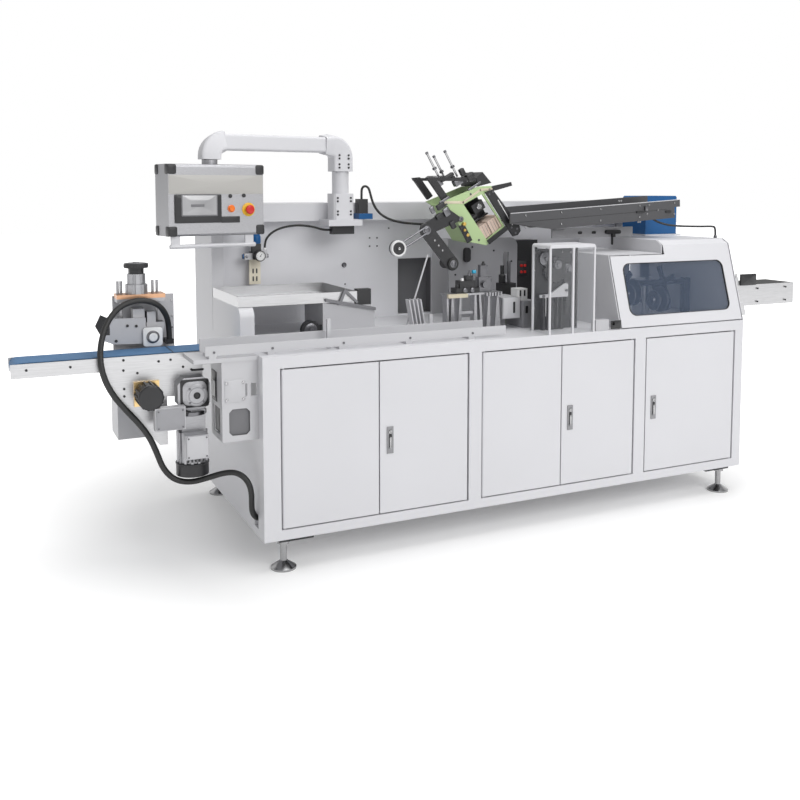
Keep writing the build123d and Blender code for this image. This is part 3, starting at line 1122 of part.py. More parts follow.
# Marking unit with its hand wheel
def make_marking_unit():
    y0, y1 = MARK_Y
    unit = block(*MARK_X, y1, y1 + MARK_PLATE_T, SIDE_LOW, TABLE_Z + MARK_PLATE_H)
    gx0, gx1, gy0, low, high = GLAND
    unit += on_table(gx0, gx1, gy0, y1, low, high)
    deck = on_table(*DECK_X, y0 - DECK_LIP, y1, *DECK_Z)
    inner_y = (y0 + CHEEK_T, y1 - CHEEK_T)
    cheeks = slab_xz(CHEEKS, y0, inner_y[0], TABLE_Z) + slab_xz(CHEEKS, inner_y[1], y1, TABLE_Z)
    cheeks += on_table(FOOT_BAR[0], FOOT_BAR[1], *inner_y, FOOT_BAR[2] + 20, FOOT_BAR[3] + 20)
    bx, rise, disc_d, ring_d, proud = BEARING
    bz = TABLE_Z + rise
    cheeks += rod((bx, y0 - proud, bz), (bx, y0, bz), disc_d)
    cheeks += bar((bx, y0 - 2 * proud, bz), (bx, y0 - proud, bz), ring_d, 16)
    cheeks += slab_xz(MARK_STOP, y0, inner_y[0], TABLE_Z)
    for x0, x1, low, high in CROSS_BLOCKS:
        cheeks += on_table(x0, x1, *inner_y, low, high)
    keep("marking_back_plate", unit + cheeks)
    cx, cy = WHEEL_AXIS
    z = TABLE_Z + DECK_Z[1]
    for (diameter, height), flutes in zip(COLLARS, COLLAR_FLUTES):
        fluted = star_solid(diameter / 2, diameter / 2 - FLUTE_DEPTH, flutes, height, 0.6, 0.8)
        deck += Pos(cx, cy, z) * fluted
        z += height
    wheel_z = z + 1
    neck_d, neck_h = HAND_NECK
    disc_d, disc_h = HAND_WHEEL
    wheel_top = wheel_z + neck_h + disc_h
    deck += bar((cx, cy, z), (cx, cy, wheel_top), WHEEL_SHAFT_D, 12)
    wheel = bar((cx, cy, wheel_z), (cx, cy, wheel_z + neck_h), neck_d, 12)
    wheel += rod((cx, cy, wheel_z + neck_h), (cx, cy, wheel_top), disc_d)
    keep("hand_wheel", wheel - rod((cx, cy, wheel_z), (cx, cy, wheel_top), WHEEL_SHAFT_D + 2 * FIT_GAP))
    mid_y = (y0 + y1) / 2
    deck_low, deck_top = TABLE_Z + DECK_Z[0], TABLE_Z + DECK_Z[1]
    for x in MARK_POSTS_X:
        deck += bar((x, mid_y, deck_top), (x, mid_y, deck_top + MARK_POST_H), MARK_POST_D)
    for x, low in MARK_COLUMNS:
        deck += bar((x, mid_y, TABLE_Z + low), (x, mid_y, deck_low), MARK_POST_D)
    keep("marking_deck", deck)


def hose(name, points, diameter):
    """A plain six-sided hose: straight runs joined by tangent arcs as large as the runs allow."""
    route = [Vector(*point) for point in points]
    radii = []
    for before, here, after in zip(route, route[1:], route[2:]):
        turn = radians((here - before).get_angle(after - here))
        shorter = min((here - before).length, (after - here).length)
        radii.append(0.45 * shorter / tan(turn / 2))
    path = FilletPolyline(*route, radius=radii)
    section = Plane(origin=path @ 0, z_dir=path % 0) * RegularPolygon(diameter / 2, 6)
    tube = sweep(section, path=path)
    print(name, "radii", [round(r) for r in radii], "length", round(path.length),
          "volume over section times length", round(tube.volume / (section.area * path.length), 3))
    keep(name, tube)


def make_hoses():
    main = [(x, y, TABLE_Z + rise) for x, y, rise in HOSE_OVER_TABLE] + list(HOSE_OVER_FLOOR)
    hose("main_hose", main, MAIN_HOSE_D)
    hose("column_hose", [(x, y, REAR_TOP + rise) for x, y, rise in COLUMN_HOSE], COLUMN_HOSE_D)
    hose("air_cable", [(x, y, REAR_TOP + rise) for x, y, rise in AIR_CABLE], AIR_CABLE_D)


def make_all():
    make_base()
    make_doors()
    make_feet()
    make_rear()
    make_left_end()
    make_guides()
    make_platform()
    make_mechanism()
    make_hood_shell()
    make_lid()
    make_rotor()
    make_guard_box()
    make_operator_arm()
    make_operator_panel()
    make_regulator()
    make_conveyor()
    make_gear_motors()
    make_outfeed()
    make_chute()
    make_magazine()
    make_picker()
    make_marking_unit()
    make_hoses()


def write_parts():
    os.makedirs("parts", exist_ok=True)
    boxes = [solid.bounding_box() for solids in NODES.values() for solid in solids]
    mid_x = (min(b.min.X for b in boxes) + max(b.max.X for b in boxes)) / 2
    mid_y = (min(b.min.Y for b in boxes) + max(b.max.Y for b in boxes)) / 2
    for name, solids in NODES.items():
        moved = [Pos(-mid_x, -mid_y, 0) * solid for solid in solids]
        shape = moved[0] if len(moved) == 1 else Compound(children=moved)
        export_step(shape, f"parts/{name}.step")
    print("origin", round(mid_x, 3), round(mid_y, 3))


make_all()
write_parts()
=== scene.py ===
import json
import math

import bpy
import numpy as np
from bpy.props import FloatProperty, FloatVectorProperty, PointerProperty
from bpy.types import Operator, Panel, PropertyGroup
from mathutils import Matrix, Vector


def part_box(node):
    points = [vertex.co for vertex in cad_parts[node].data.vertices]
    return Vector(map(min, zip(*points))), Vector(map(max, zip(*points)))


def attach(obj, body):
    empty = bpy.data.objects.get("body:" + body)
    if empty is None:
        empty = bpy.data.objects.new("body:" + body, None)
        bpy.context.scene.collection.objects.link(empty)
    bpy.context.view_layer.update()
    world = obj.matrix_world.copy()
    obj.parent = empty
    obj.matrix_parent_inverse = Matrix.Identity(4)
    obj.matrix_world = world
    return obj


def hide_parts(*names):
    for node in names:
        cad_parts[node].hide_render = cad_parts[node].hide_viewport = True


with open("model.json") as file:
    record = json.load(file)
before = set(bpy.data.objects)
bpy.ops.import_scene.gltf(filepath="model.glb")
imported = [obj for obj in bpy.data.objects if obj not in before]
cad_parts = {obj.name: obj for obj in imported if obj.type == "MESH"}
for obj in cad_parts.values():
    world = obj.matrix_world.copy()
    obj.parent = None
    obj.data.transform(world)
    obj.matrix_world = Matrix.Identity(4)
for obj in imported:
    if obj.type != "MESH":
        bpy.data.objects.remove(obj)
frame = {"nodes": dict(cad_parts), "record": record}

bl_info = {
    "name": "Tissue box packing machine",
    "version": (1, 0, 0),
    "blender": (4, 5, 0),
    "location": "View3D > Sidebar > Packing machine",
    "description": "Finishes, small hardware and a studio for the tissue box packing machine",
    "category": "Object",
}

# The machine is measured in millimetres from its table's front left corner in plan, and from the floor.
TABLE_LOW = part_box("table_top")[0]
MM = 0.001


def at(x, y, z):
    """A point given in the machine's own millimetres, as metres in the frame."""
    return Vector((TABLE_LOW.x + x * MM, TABLE_LOW.y + y * MM, z * MM))


class StageSettings(PropertyGroup):
    floor_colour: FloatVectorProperty(name="Floor", description="Colour of the floor under the machine",
                                      subtype="COLOR", size=3, min=0, max=1, default=(0.90, 0.90, 0.90))
    floor_size: FloatProperty(name="Floor size", description="Side of the square floor", default=60.0,
                              unit="LENGTH")
    floor_lift: FloatProperty(name="Floor lift", description="Light added to the floor near the machine",
                              default=0.14, min=0, max=1)
    world_light: FloatProperty(name="World light", description="Strength of the light from all round",
                               default=0.55, min=0)
    key_power: FloatProperty(name="Key light", description="Power of the large light in front",
                             subtype="POWER", default=290.0)
    top_power: FloatProperty(name="Top light", description="Power of the light overhead",
                             subtype="POWER", default=175.0)
    camera_lens: FloatProperty(name="Lens", description="Focal length on a 36 mm sensor", unit="CAMERA",
                               default=41.94)


class FinishSettings(PropertyGroup):
    white_coat: FloatVectorProperty(name="White coat", description="Powder coat of the cabinet and the hood",
                                    subtype="COLOR", size=3, min=0, max=1, default=(0.669, 0.669, 0.695))
    grey_coat: FloatVectorProperty(name="Grey coat", description="Powder coat of the plates behind",
                                   subtype="COLOR", size=3, min=0, max=1, default=(0.50, 0.50, 0.52))
    dark_coat: FloatVectorProperty(name="Dark coat", description="Paint of the black parts", subtype="COLOR",
                                   size=3, min=0, max=1, default=(0.018, 0.018, 0.02))
    chute_coat: FloatVectorProperty(name="Chute coat", description="Paint of the carton chute",
                                    subtype="COLOR", size=3, min=0, max=1, default=(0.075, 0.075, 0.08))
    green_coat: FloatVectorProperty(name="Green coat", description="Paint of the magazine head",
                                    subtype="COLOR", size=3, min=0, max=1, default=(0.44, 0.58, 0.30))
    blue_coat: FloatVectorProperty(name="Blue coat", description="Paint of the glue unit", subtype="COLOR",
                                   size=3, min=0, max=1, default=(0.002, 0.090, 0.270))
    steel: FloatVectorProperty(name="Steel", description="Colour of brushed steel", subtype="COLOR", size=3,
                               min=0, max=1, default=(0.522, 0.522, 0.531))
    aluminium: FloatVectorProperty(name="Aluminium", description="Colour of anodised aluminium",
                                   subtype="COLOR", size=3, min=0, max=1, default=(0.370, 0.370, 0.385))
    belt_blue: FloatVectorProperty(name="Belt", description="Colour of the infeed belt", subtype="COLOR",
                                   size=3, min=0, max=1, default=(0.075, 0.175, 0.330))
    board: FloatVectorProperty(name="Board", description="Colour of the carton blanks", subtype="COLOR",
                               size=3, min=0, max=1, default=(0.66, 0.52, 0.44))
    # The hood window's tint, dark and blue-grey: painted shade of the hood's inside, seen through the sheet
    window_shade_tint: FloatVectorProperty(name="Window", description="Tint of the clear panels", subtype="COLOR",
                                     size=3, min=0, max=1, default=(0.170, 0.220, 0.320))


# Materials
class Shader:
    """One surface of a material, with its nodes close at hand."""

    def __init__(self, base):
        """base is the name of a new material, or a surface whose material gets one more beside it."""
        if isinstance(base, Shader):
            self.material, self.tree = base.material, base.tree
            self.bsdf = base.latest = self.tree.nodes.new("ShaderNodeBsdfPrincipled")
            return
        self.material = bpy.data.materials.new(base)
        self.material.use_nodes = True
        self.tree = self.material.node_tree
        self.bsdf = self.tree.nodes["Principled BSDF"]

    def set(self, **values):
        """Writes plain values on the shader's own sockets; a double underscore stands for a space."""
        for key, value in values.items():
            socket = self.bsdf.inputs[key.replace("__", " ")]
            socket.default_value = (*value, 1.0) if socket.type == "RGBA" and len(value) == 3 else value
        return self

    def node(self, kind, **values):
        made = self.tree.nodes.new(kind)
        for key, value in values.items():
            made.inputs[key.replace("__", " ")].default_value = value
        return made

    def link(self, source, target):
        self.tree.links.new(source, target)

    def noise(self, scale, stretch=(1, 1, 1), detail=3.0):
        """Noise on the object's own coordinates, stretched along the axes with small numbers."""
        coords = self.node("ShaderNodeTexCoord")
        mapping = self.node("ShaderNodeMapping", Scale=stretch)
        noise = self.node("ShaderNodeTexNoise", Scale=scale, Detail=detail)
        self.link(coords.outputs["Object"], mapping.inputs["Vector"])
        self.link(mapping.outputs["Vector"], noise.inputs["Vector"])
        return noise.outputs["Fac"]

    def spread(self, source, low, high):
        """Maps a 0 to 1 pattern to the range from low to high."""
        made = self.node("ShaderNodeMapRange", To__Min=low, To__Max=high)
        self.link(source, made.inputs["Value"])
        return made.outputs["Result"]

    def maths(self, operation, first, second):
        made = self.node("ShaderNodeMath")
        made.operation = operation
        for socket, value in zip(made.inputs, (first, second)):
            if isinstance(value, float):
                socket.default_value = value
            else:
                self.link(value, socket)
        return made.outputs[0]

    def vector(self, operation, first, second=None):
        made = self.node("ShaderNodeVectorMath")
        made.operation = operation
        self.link(first, made.inputs[0])
        if second is not None:
            made.inputs[1].default_value = second
        return made.outputs[0]

    def inside(self, low, high):
        """1 inside a box of the machine's millimetres: the largest of |p - middle| - half is below 0."""
        low, high = at(*low), at(*high)
        coords = self.node("ShaderNodeTexCoord").outputs["Object"]
        offset = self.vector("ABSOLUTE", self.vector("SUBTRACT", coords, (low + high) / 2))
        parts = self.node("ShaderNodeSeparateXYZ")
        self.link(self.vector("SUBTRACT", offset, (high - low) / 2), parts.inputs[0])
        largest = self.maths("MAXIMUM", parts.outputs[0], parts.outputs[1])
        return self.maths("LESS_THAN", self.maths("MAXIMUM", largest, parts.outputs[2]), 0.0)

    def vary_colour(self, source, dark, light):
        """Blends two colours by a pattern and feeds the base colour."""
        ramp = self.node("ShaderNodeValToRGB")
        ramp.color_ramp.elements[0].position = 0.3
        ramp.color_ramp.elements[1].position = 0.7
        ramp.color_ramp.elements[0].color = (*dark, 1.0)
        ramp.color_ramp.elements[1].color = (*light, 1.0)
        self.link(source, ramp.inputs["Fac"])
        self.link(ramp.outputs["Color"], self.bsdf.inputs["Base Color"])

    def bump(self, source, depth, strength=1.0):
        made = self.node("ShaderNodeBump", Strength=strength, Distance=depth)
        self.link(source, made.inputs["Height"])
        self.link(made.outputs["Normal"], self.bsdf.inputs["Normal"])


def shade(colour, factor):
    return tuple(min(1.0, part * factor) for part in colour)


def powder_coat(name, colour, roughness=0.42, depth=0.00006):
    """Powder coat: a faint orange peel, with broad, slight changes of tone and gloss."""
    paint = Shader(name)
    broad = paint.noise(1.6, detail=2.0)
    paint.vary_colour(broad, shade(colour, 0.965), colour)
    paint.link(paint.spread(broad, roughness - 0.05, roughness + 0.06), paint.bsdf.inputs["Roughness"])
    paint.bump(paint.noise(420.0), depth, 0.35)
    return paint.set(Specular__IOR__Level=0.45).material


def brushed_metal(name, colour, stretch=(0.02, 1, 1), roughness=0.34):
    """Brushed metal: fine scratches drawn out along one axis in tone, gloss and height."""
    metal = Shader(name)
    lines = metal.noise(700.0, stretch)
    metal.vary_colour(lines, shade(colour, 0.86), shade(colour, 1.06))
    metal.link(metal.spread(lines, roughness - 0.08, roughness + 0.1), metal.bsdf.inputs["Roughness"])
    metal.bump(lines, 0.00002, 0.3)
    return metal.set(Metallic=0.92).material


def turned_metal(name, colour, roughness=0.2):
    """Smooth turned or polished metal with small clouds in its gloss."""
    metal = Shader(name)
    clouds = metal.noise(60.0)
    metal.vary_colour(clouds, shade(colour, 0.92), colour)
    metal.link(metal.spread(clouds, roughness - 0.05, roughness + 0.08), metal.bsdf.inputs["Roughness"])
    return metal.set(Metallic=1.0).material


def moulded_plastic(name, colour, roughness=0.4, depth=0.00004):
    """Moulded plastic or rubber: a fine grain and a slightly uneven gloss."""
    plastic = Shader(name)
    grain = plastic.noise(900.0)
    plastic.vary_colour(plastic.noise(12.0), shade(colour, 0.9), shade(colour, 1.08))
    plastic.link(plastic.spread(grain, roughness - 0.06, roughness + 0.08), plastic.bsdf.inputs["Roughness"])
    plastic.bump(grain, depth, 0.4)
    return plastic.material


def woven_belt(name, colour):
    """Woven belt: two crossing sets of fine ribs pressed into a matt face."""
    belt = Shader(name)
    coords = belt.node("ShaderNodeTexCoord")
    ribs = []
    for axis in ("X", "Y"):
        wave = belt.node("ShaderNodeTexWave", Scale=420.0, Distortion=0.4)
        wave.bands_direction = axis
        belt.link(coords.outputs["Object"], wave.inputs["Vector"])
        ribs.append(wave.outputs["Fac"])
    belt.vary_colour(belt.noise(5.0), shade(colour, 0.9), shade(colour, 1.12))
    belt.bump(belt.maths("MULTIPLY", *ribs), 0.0002, 0.4)
    return belt.set(Roughness=0.62).material


def clear_panel(name, tint, cover=0.2):
    """Clear sheet: mostly see-through, with a faint tint and streaks in its gloss."""
    sheet = Shader(name)
    streaks = sheet.noise(3.0, (1, 1, 0.3))
    sheet.link(sheet.spread(streaks, 0.02, 0.1), sheet.bsdf.inputs["Roughness"])
    return sheet.set(Base__Color=tint, Alpha=cover, IOR=1.49).material


def carton_board(name, colour):
    """Carton board: short fibres in its tone and in its face."""
    board = Shader(name)
    fibres = board.noise(260.0, (1, 0.3, 1))
    board.vary_colour(fibres, shade(colour, 0.88), shade(colour, 1.06))
    board.bump(fibres, 0.0001, 0.4)
    return board.set(Roughness=0.8).material


def screen_glass(name, colour):
    """Dark display glass: glossy, with a faint lighter sheen drawn up it."""
    glass = Shader(name)
    glass.vary_colour(glass.noise(4.0, (1, 1, 0.4)), shade(colour, 0.8), shade(colour, 1.25))
    return glass.set(Roughness=0.12, Coat__Weight=0.6).material


RECIPES = {}
FINISHES = {}


def make_recipes(settings):
    """How each finish is made, by the record's slot name or the name of a small piece's own finish.
    Each takes the name of a new material, or a surface that gets one more beside it."""
    steel, aluminium = settings.steel, settings.aluminium
    RECIPES.update({
        "white_paint": lambda on: powder_coat(on, settings.white_coat),
        "grey_paint": lambda on: powder_coat(on, settings.grey_coat),
        "dark_paint": lambda on: powder_coat(on, settings.dark_coat, 0.38),
        "chute_paint": lambda on: powder_coat(on, settings.chute_coat, 0.36),
        "green_paint": lambda on: powder_coat(on, settings.green_coat, 0.4),
        "blue_paint": lambda on: powder_coat(on, settings.blue_coat, 0.34),
        "mid_grey": lambda on: powder_coat(on, (0.17, 0.17, 0.18), 0.4),
        "light_grey": lambda on: powder_coat(on, (0.56, 0.56, 0.58), 0.4),
        "stainless": lambda on: brushed_metal(on, steel),
        "polished_steel": lambda on: turned_metal(on, shade(steel, 0.72)),
        "gold_plate": lambda on: turned_metal(on, (0.72, 0.52, 0.25), 0.3),
        "copper": lambda on: brushed_metal(on, (0.62, 0.36, 0.22), (0.05, 1, 1), 0.35),
        "aluminium": lambda on: brushed_metal(on, aluminium, (0.05, 1, 1), 0.4),
        "lock_steel": lambda on: brushed_metal(on, (0.26, 0.26, 0.27), (1, 1, 0.05), 0.35),
        "black_plastic": lambda on: moulded_plastic(on, (0.014, 0.014, 0.016), 0.4),
        "white_plastic": lambda on: moulded_plastic(on, (0.78, 0.78, 0.78), 0.35),
        "cream_plastic": lambda on: moulded_plastic(on, (0.80, 0.74, 0.60), 0.45),
        "beige_plastic": lambda on: moulded_plastic(on, (0.62, 0.56, 0.42), 0.45),
        "red_plastic": lambda on: moulded_plastic(on, (0.60, 0.012, 0.01), 0.28),
        "orange_plastic": lambda on: moulded_plastic(on, (0.85, 0.18, 0.01), 0.28),
        "yellow_plastic": lambda on: moulded_plastic(on, (0.85, 0.50, 0.02), 0.4),
        "cyan_plastic": lambda on: moulded_plastic(on, (0.03, 0.35, 0.55), 0.35),
        "belt_blue": lambda on: woven_belt(on, settings.belt_blue),
        "black_rubber": lambda on: moulded_plastic(on, (0.012, 0.012, 0.012), 0.5, 0.0001),
        # The hood window's dark tint paints the shade inside the hood
        "clear_panel": lambda on: clear_panel(on, settings.window_shade_tint),
        "guard_pane": lambda on: clear_panel(on, (0.60, 0.62, 0.66), 0.07),
        "carton": lambda on: carton_board(on, settings.board),
        "plate_grey": lambda on: powder_coat(on, (0.34, 0.34, 0.36), 0.4),
        # The rear wall: the grey coat made 1.6 times lighter, painted light on the wall
        "lit_wall_grey": lambda on: powder_coat(on, shade(settings.grey_coat, 1.6), 0.4),
        "brass": lambda on: turned_metal(on, (0.62, 0.42, 0.12), 0.3),
        "band_grey": lambda on: powder_coat(on, (0.46, 0.45, 0.43), 0.4),
        "dark_steel": lambda on: turned_metal(on, (0.16, 0.16, 0.17), 0.3),
        "screen": lambda on: screen_glass(on, (0.36, 0.36, 0.37)),
    })


def finish(name):
    """The material of that finish, made once."""
    if name not in FINISHES:
        FINISHES[name] = RECIPES[name](name)
    return FINISHES[name]


def zoned(name, base, zones):
    """The base finish with other finishes inside boxes, each given as its finish, low and high corner."""
    whole = Shader(name)
    whole.tree.nodes.remove(whole.bsdf)
    RECIPES[base](whole)
    shown = whole.latest.outputs["BSDF"]
    for recipe, low, high in zones:
        RECIPES[recipe](whole)
        mix = whole.node("ShaderNodeMixShader")
        sources = (whole.inside(low, high), shown, whole.latest.outputs["BSDF"])
        for source, socket in zip(sources, mix.inputs):
            whole.link(source, socket)
        shown = mix.outputs[0]
    whole.link(shown, whole.tree.nodes["Material Output"].inputs["Surface"])
    return whole.material


# Zones by node: finish, low corner and high corner of each box. A later zone covers an earlier one.
LOCK = ("lock_steel", (-50, -30, 420), (2600, -0.1, 580))
ZONES = {
    "door_2": [LOCK], "door_4": [LOCK], "door_5": [LOCK],
    "levelling_feet": [("dark_paint", (-50, -50, 122.9), (2700, 1200, 136))],
    "rear_wall": [("mid_grey", (1012, 901, 900), (1209, 961, 1199)),
                  ("light_grey", (1209, 880, 890), (1330, 899.5, 1310))],
    "ramp_box": [("black_plastic", (280, 340, 890), (387.5, 380, 990)),
                 ("dark_steel", (390, 330, 1000), (650, 351.5, 1120)),
                 ("black_plastic", (556, 351.6, 1037), (627, 399, 1112))],
    "fold_platform": [("beige_plastic", (955, 225, 1055), (1064, 245.9, 1078)),
                      ("black_plastic", (1010, 240, 1077.1), (1140, 330, 1170)),
                      ("dark_steel", (1140.5, 240, 1077.1), (1220, 330, 1220))],
    "drive_boxes": [("plate_grey", (1371, 230, 894), (1445, 401, 1026)),
                    ("white_plastic", (1347, 230, 1026.5), (1405, 340, 1090)),
                    ("dark_paint", (1410, 499, 894), (1496, 561, 1090)),
                    ("dark_paint", (1620, 700, 894), (1768, 800, 1300))],
    "guard_frame": [("dark_paint", (1371, 120, 894), (1620, 173, 1290)),
                    ("light_grey", (1400, 137, 1049), (1562, 146.1, 1116))],
    "mechanism_plate": [("dark_paint", (1290, 660, 1180), (1335, 699.9, 1270))],
    "arm_column": [("blue_paint", (715, 700, 1415.1), (797, 811, 1442.9)),
                   ("black_plastic", (715, 700, 1443), (797, 811, 1520)),
                   ("black_plastic", (570, 700, 1330), (695, 770, 1384.9))],
    "magazine_top_frame": [("polished_steel", (860, 413, 1600), (1200, 427, 1900)),
                           ("polished_steel", (860, 433, 1600), (1200, 447, 1900)),
                           ("polished_steel", (860, 463, 1600), (1200, 477, 1900))],
    "air_regulator": [("blue_paint", (195, 800, 1301.1), (250, 860, 1350)),
                      ("black_plastic", (202.5, 806, 1224), (241.5, 853.1, 1301)),
                      ("black_plastic", (200, 775, 1210), (260, 806.9, 1275)),
                      ("cream_plastic", (190, 849, 1090), (260, 861, 1222))],
    "gear_motors": [("gold_plate", (-463, 235.9, 691), (-361, 247, 793)),
                    ("black_plastic", (-466, 139, 688), (-358, 235.8, 796)),
                    ("light_grey", (-399, 139, 604), (-277, 183, 698)),
                    ("black_plastic", (-308, 100, 400), (-170, 273, 451))],
    "glue_unit": [("light_grey", (2340, 530, 1300), (2660, 770, 1313.1))],
    "marking_back_plate": [("white_plastic", (-391, 413.9, 906), (-314, 425.9, 983)),
                           ("black_plastic", (-372, 401, 924), (-332, 413.8, 964)),
                           ("black_plastic", (-374, 436.1, 974), (-298, 490, 1048)),
                           ("white_plastic", (-429, 436.1, 1010), (-379, 490, 1063)),
                           ("dark_paint", (-583, 425, 960), (-524, 437, 1047)),
                           ("black_plastic", (-293, 435, 904), (-259, 500, 926))],
    "marking_deck": [("copper", (-496, 400, 1109), (-296, 501, 1126.1))],
    "chute_brackets": [("light_grey", (1700, 510, 1300), (2300, 535, 1370)),
                       ("dark_paint", (1180, 540, 1360), (1240, 900, 1400))],
    "panel_fittings": [("white_paint", (-300, 500, 1280), (250, 640, 1357))],
}

# Nodes whose finish differs from the record's slot in tone; the rear wall's is lightened as painted light
OWN_FINISH = {"guard_panes": "guard_pane", "magazine_top_frame": "dark_paint", "picker_rods": "dark_steel",
              "mechanism_plate": "plate_grey", "rear_wall": "lit_wall_grey", "conveyor_leg_box": "light_grey",
              "guide_rails": "light_grey"}


class MACHINE_OT_finishes(Operator):
    """Gives every CAD node of the machine its finish"""
    bl_idname = "machine.finishes"
    bl_label = "Finishes"

    def execute(self, context):
        make_recipes(context.scene.machine_finish)
        slots = {part["node"]: part["material_slot"] for part in frame["record"]["subparts"]}
        for name, node in frame["nodes"].items():
            node.data.materials.clear()
            plain = name not in ZONES
            slot = OWN_FINISH.get(name, slots[name])
            shown = finish(slot) if plain else zoned(f"{name}_finish", slot, ZONES[name])
            node.data.materials.append(shown)
        return {"FINISHED"}


# Parametric surfaces for the small pieces. A profile that closes ends on a POINT, too small to see.
FRONT, LEFT, RIGHT, TOP = (0, -1, 0), (-1, 0, 0), (1, 0, 0), (0, 0, 1)
POINT = 0.02


def basis(axis):
    """Two unit directions square to an axis and to each other."""
    axis = np.array(axis, float) / np.linalg.norm(axis)
    across = np.cross((0, 0, 1) if abs(axis[2]) < 0.9 else (0, 1, 0), axis)
    across /= np.linalg.norm(across)
    return axis, across, np.cross(axis, across)


class Detail:
    """One piece made of parametric grids, each with its own finish."""

    def __init__(self):
        self.points, self.faces, self.marks, self.finishes = [], [], [], []
        self.count = 0

    def grid(self, points, finish_name, closed=True):
        """Adds the surface P(i, j), given as rows by columns by 3, with four-sided faces between
        neighbours. A closed grid also joins its last column to its first."""
        rows, columns = points.shape[:2]
        index = np.arange(rows * columns).reshape(rows, columns) + self.count
        if closed:
            index = np.hstack([index, index[:, :1]])
        corners = (index[:-1, :-1], index[1:, :-1], index[1:, 1:], index[:-1, 1:])
        faces = np.stack([corner.ravel() for corner in corners], axis=1)
        if finish_name not in self.finishes:
            self.finishes.append(finish_name)
        self.points.append(points.reshape(-1, 3))
        self.faces.append(faces)
        self.marks.append(np.full(len(faces), self.finishes.index(finish_name)))
        self.count += rows * columns

    def turned(self, centre, axis, profile, finish_name, sides=24):
        """A turned form: P(h, t) = centre + height(h) * axis + radius(h) * (cos t, sin t) across it."""
        axis, across, upward = basis(axis)
        radius, height = np.array(profile, float).T[:, :, None, None]
        angle = np.linspace(0, 2 * np.pi, sides, endpoint=False)[None, :, None]
        ring = np.cos(angle) * across + np.sin(angle) * upward
        self.grid(np.array(centre, float) + height * axis + radius * ring, finish_name)

    def slab(self, centre, right, up, width, height, thick, finish_name, corner=3.0, edge=1.5):
        """A plate with rounded corners and a softened rim: the outline of a rounded rectangle is
        carried up its side, over the rim and in to the middle of its face."""
        right, up = np.array(right, float), np.array(up, float)
        outward = np.cross(right, up)
        steps = ((0, 0), (0, thick - edge), (0.3 * edge, thick - 0.3 * edge), (edge, thick))
        rings = []
        for inset, rise in steps:
            flat = rounded_outline(width - 2 * inset, height - 2 * inset, max(corner - inset, 0.2))
            rings.append(flat[:, :1] * right + flat[:, 1:] * up + rise * outward)
        rings.append(np.zeros_like(rings[-1]) + thick * outward)
        self.grid(np.array(centre, float) + np.array(rings), finish_name)

    def tube(self, centres, radii, finish_name, sides=10):
        """A tube along a row of points: P(s, t) = centre(s) + radius(s) * (cos t, sin t) square to it."""
        self.grid(tube_rings(centres, radii, sides), finish_name)

    def lay(self, name, body):
        """Makes the object, in metres in the frame, and lets it ride on a body."""
        corner = np.array(at(0, 0, 0))
        points = np.concatenate(self.points) * MM + corner
        mesh = bpy.data.meshes.new(name)
        mesh.from_pydata(points.tolist(), [], np.concatenate(self.faces).tolist())
        for finish_name in self.finishes:
            mesh.materials.append(finish(finish_name))
        mesh.polygons.foreach_set("material_index", np.concatenate(self.marks).astype(np.int32))
        mesh.shade_smooth()
        mesh.set_sharp_from_angle(angle=math.radians(32))
        piece = bpy.data.objects.new(name, mesh)
        bpy.context.scene.collection.objects.link(piece)
        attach(piece, body)
        return piece


def rounded_outline(width, height, corner, steps=5):
    """A rounded rectangle, anticlockwise: a quarter circle about each of its four corner centres."""
    turn = np.linspace(0, np.pi / 2, steps)
    angle = (np.arange(4)[:, None] * np.pi / 2 + turn).ravel()
    signs = np.repeat([(1, 1), (-1, 1), (-1, -1), (1, -1)], steps, axis=0)
    middle = signs * (np.array([width, height]) / 2 - corner)
    return middle + corner * np.stack([np.cos(angle), np.sin(angle)], axis=1)


def tube_rings(centres, radii, sides):
    """Rings square to a path. Each ring's directions are the last ring's, turned as little as it takes
    to stay square to the path, so the tube doesn't twist."""
    centres = np.asarray(centres, float)
    along = np.gradient(centres, axis=0)
    along /= np.linalg.norm(along, axis=1, keepdims=True)
    across = np.zeros_like(centres)
    across[0] = basis(along[0])[1]
    for number in range(1, len(centres)):
        kept = across[number - 1] - along[number] * (across[number - 1] @ along[number])
        across[number] = kept / np.linalg.norm(kept)
    upward = np.cross(along, across)
    angle = np.linspace(0, 2 * np.pi, sides, endpoint=False)[None, :, None]
    ring = np.cos(angle) * across[:, None] + np.sin(angle) * upward[:, None]
    return centres[:, None] + np.broadcast_to(radii, len(centres))[:, None, None] * ring


def bolts(detail, places, axis, radius, finish_name="black_plastic"):
    """Cap screws: a turned head, 0.7 of its radius high, with a round socket in it."""
    proud = 0.7 * radius
    profile = [(radius, 0), (radius, 0.8 * proud), (0.85 * radius, proud), (0.5 * radius, proud),
               (0.5 * radius, 0.4 * proud), (POINT, 0.4 * proud)]
    for place in places:
        detail.turned(place, axis, profile, finish_name, 14)


def ribbed(detail, centre, radius, knurl, ribs, rings, finish_name, crown=0.0, phase=0.0):
    """A knurled form on a vertical axis: the radius at the angle t is R plus or minus the knurl, by the sign
    of sin(ribs * t + phase), less the inset of each ring. It closes a crown's height above its last ring."""
    angle = np.linspace(0, 2 * np.pi, 4 * ribs, endpoint=False)
    outer = radius + knurl * np.sign(np.sin(ribs * angle + phase))
    sizes = [(outer - inset, z) for inset, z in rings] + [(np.full(len(angle), POINT), rings[-1][1] + crown)]
    rows = [np.column_stack([centre[0] + size * np.cos(angle), centre[1] + size * np.sin(angle),
                             np.full(len(angle), z)]) for size, z in sizes]
    detail.grid(np.array(rows), finish_name)


